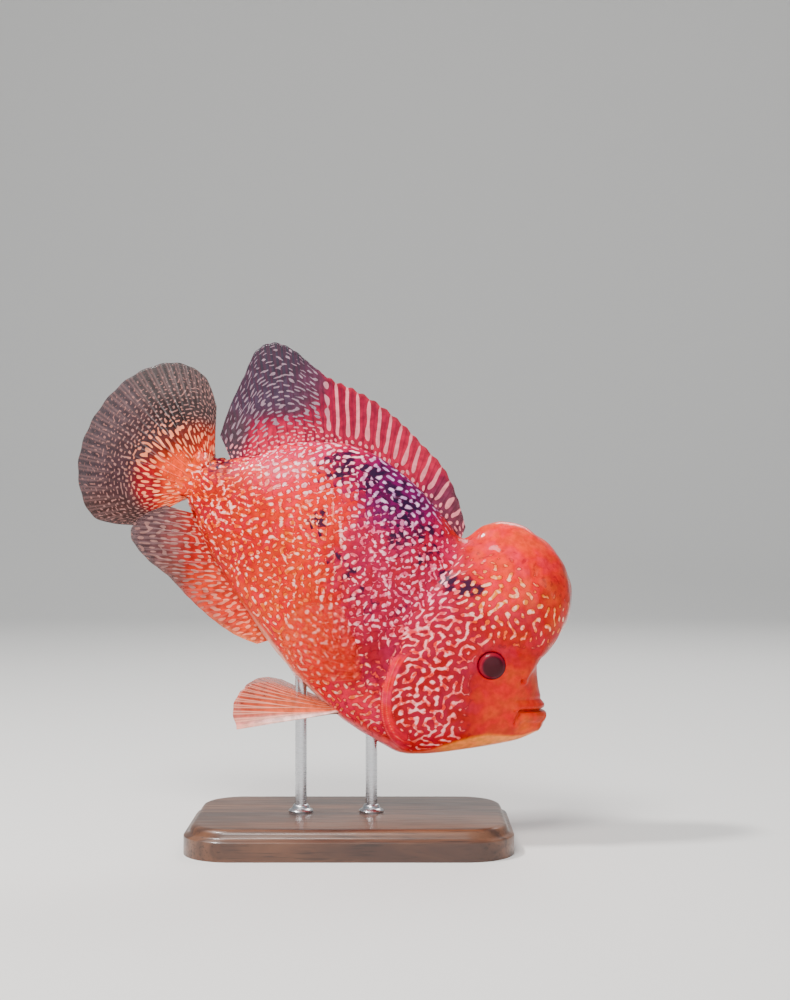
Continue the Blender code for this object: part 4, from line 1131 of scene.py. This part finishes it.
def wood_finish():
    """Oiled walnut: long grain, darker rings and fine open pores."""
    made, tree, shader = begin_finish("oiled_walnut")
    rings_of_growth = stretched_noise(tree, (7, 120, 90), Detail=5.0, Roughness=0.6, Distortion=0.6)
    pores = stretched_noise(tree, (60, 1400, 900), Detail=2.0)
    colour = mixed(tree, graded(tree, rings_of_growth, 0.35, 0.65), opaque(58, 34, 24), opaque(104, 66, 44))
    colour = mixed(tree, graded(tree, pores, 0.58, 0.7, 0, 0.6), colour, opaque(34, 20, 14))
    fill(tree, shader, {
        "Base Color": colour, "Roughness": graded(tree, pores, 0.3, 0.7, 0.34, 0.46), "Coat Weight": 0.3,
        "Coat Roughness": 0.15, "Normal": dented(tree, pores, 0.1, 0.25)})
    return made


def steel_finish():
    """Turned steel: bright, with fine rings from the lathe."""
    made, tree, shader = begin_finish("turned_steel")
    lines = stretched_noise(tree, (40, 40, 2600), Detail=2.0)
    fill(tree, shader, {
        "Base Color": mixed(tree, lines, opaque(178, 180, 184), opaque(206, 207, 210)), "Metallic": 1.0,
        "Roughness": graded(tree, lines, 0.3, 0.7, 0.2, 0.34), "Normal": dented(tree, lines, 0.01, 0.2)})
    return made


def turned_rod(name, node):
    """A rod with a small turned collar where it enters the wood."""
    low, high = (np.array(corner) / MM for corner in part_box(node))
    radius, x = (high - low)[0] / 2, (high + low)[0] / 2
    foot, head = low[2], high[2]
    profile = [(radius + out, foot + up) for out, up in COLLAR] + [(radius, head - 0.5), (radius - 0.4, head)]
    spoke = 2 * math.pi * np.arange(ROD_SIDES) / ROD_SIDES
    rows = [np.column_stack([x + r * np.cos(spoke), r * np.sin(spoke), np.full(ROD_SIDES, z)])
            for r, z in profile]
    points = np.concatenate(rows + [[(x, 0, profile[0][1]), (x, 0, profile[-1][1])]])
    made = add_object(name, points * MM, closed_faces(len(rows), ROD_SIDES, True))
    made.data.set_sharp_from_angle(angle=CREASE)
    return made


board = stand_board()
board.data.materials.append(wood_finish())
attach(board, "root")
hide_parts("stand_base")
steel = steel_finish()
for name, node in (("turned_rod_front", "stand_rod_front"), ("turned_rod_rear", "stand_rod_rear")):
    rod = turned_rod(name, node)
    rod.data.materials.append(steel)
    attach(rod, "root")
    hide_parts(node)

# The studio is a sheet of pale matt paper that lies on the floor and sweeps up behind the stand. Four
# soft lamps stand round it in an even, dim surround, and the camera looks level at the left flank.
FLOOR_FRONT, FLOOR_BACK, HALF_FLOOR, BEND, WALL_TOP = -6.0, 1.3, 5.0, 0.9, 4.0
bend = np.linspace(0, math.pi / 2, 33)
sweep = np.stack([FLOOR_BACK + BEND * np.sin(bend), BEND - BEND * np.cos(bend)], 1)
line = np.concatenate([[(FLOOR_FRONT, 0)], sweep, [(FLOOR_BACK + BEND, WALL_TOP)]])
count = len(line)
floor = add_object("studio_floor", [(x, y, z) for x in (-HALF_FLOOR, HALF_FLOOR) for y, z in line],
                   [(j, count + j, count + j + 1, j + 1) for j in range(count - 1)])
pale_paper, paper_tree, paper = begin_finish("pale_paper")
fill(paper_tree, paper, {"Base Color": (0.72, 0.71, 0.69, 1), "Roughness": 0.9})
floor.data.materials.append(pale_paper)

world = bpy.data.worlds.new("surround")
world.use_nodes = True
fill(world.node_tree, world.node_tree.nodes["Background"], {"Color": (0.9, 0.95, 1.0, 1), "Strength": 0.5})
bpy.context.scene.world = world


def soft_lamp(name, place, aim, size, power, colour):
    lamp = bpy.data.lights.new(name, "AREA")
    lamp.shape, lamp.size, lamp.size_y = "RECTANGLE", size, size * 0.7
    lamp.energy, lamp.color = power, colour
    made = linked(name, lamp)
    made.location = place
    made.rotation_euler = (Vector(aim) - Vector(place)).to_track_quat("-Z", "Y").to_euler()


soft_lamp("key_lamp", (-0.35, -0.95, 1.25), (0.0, 0, 0.1), 0.6, 23, (1, 0.97, 0.94))
soft_lamp("tank_lamp", (-0.45, -0.15, 0.85), (0.03, 0, 0.09), 0.12, 10, (1, 0.98, 0.96))
soft_lamp("front_lamp", (0.3, -1.6, 0.15), (0.0, 0, 0.1), 2.0, 14, (0.98, 0.98, 1))
soft_lamp("back_lamp", (0.3, 0.8, 0.9), (0.0, 0, 0.14), 0.6, 6, (1, 1, 1))

lens = bpy.data.cameras.new("camera")
lens.lens, lens.sensor_width = 61.08, 36.0
camera = linked("camera", lens)
camera.location = (0.0184, -0.7, 0.1407)
camera.rotation_euler = (math.pi / 2, 0, 0)
bpy.context.scene.camera = camera
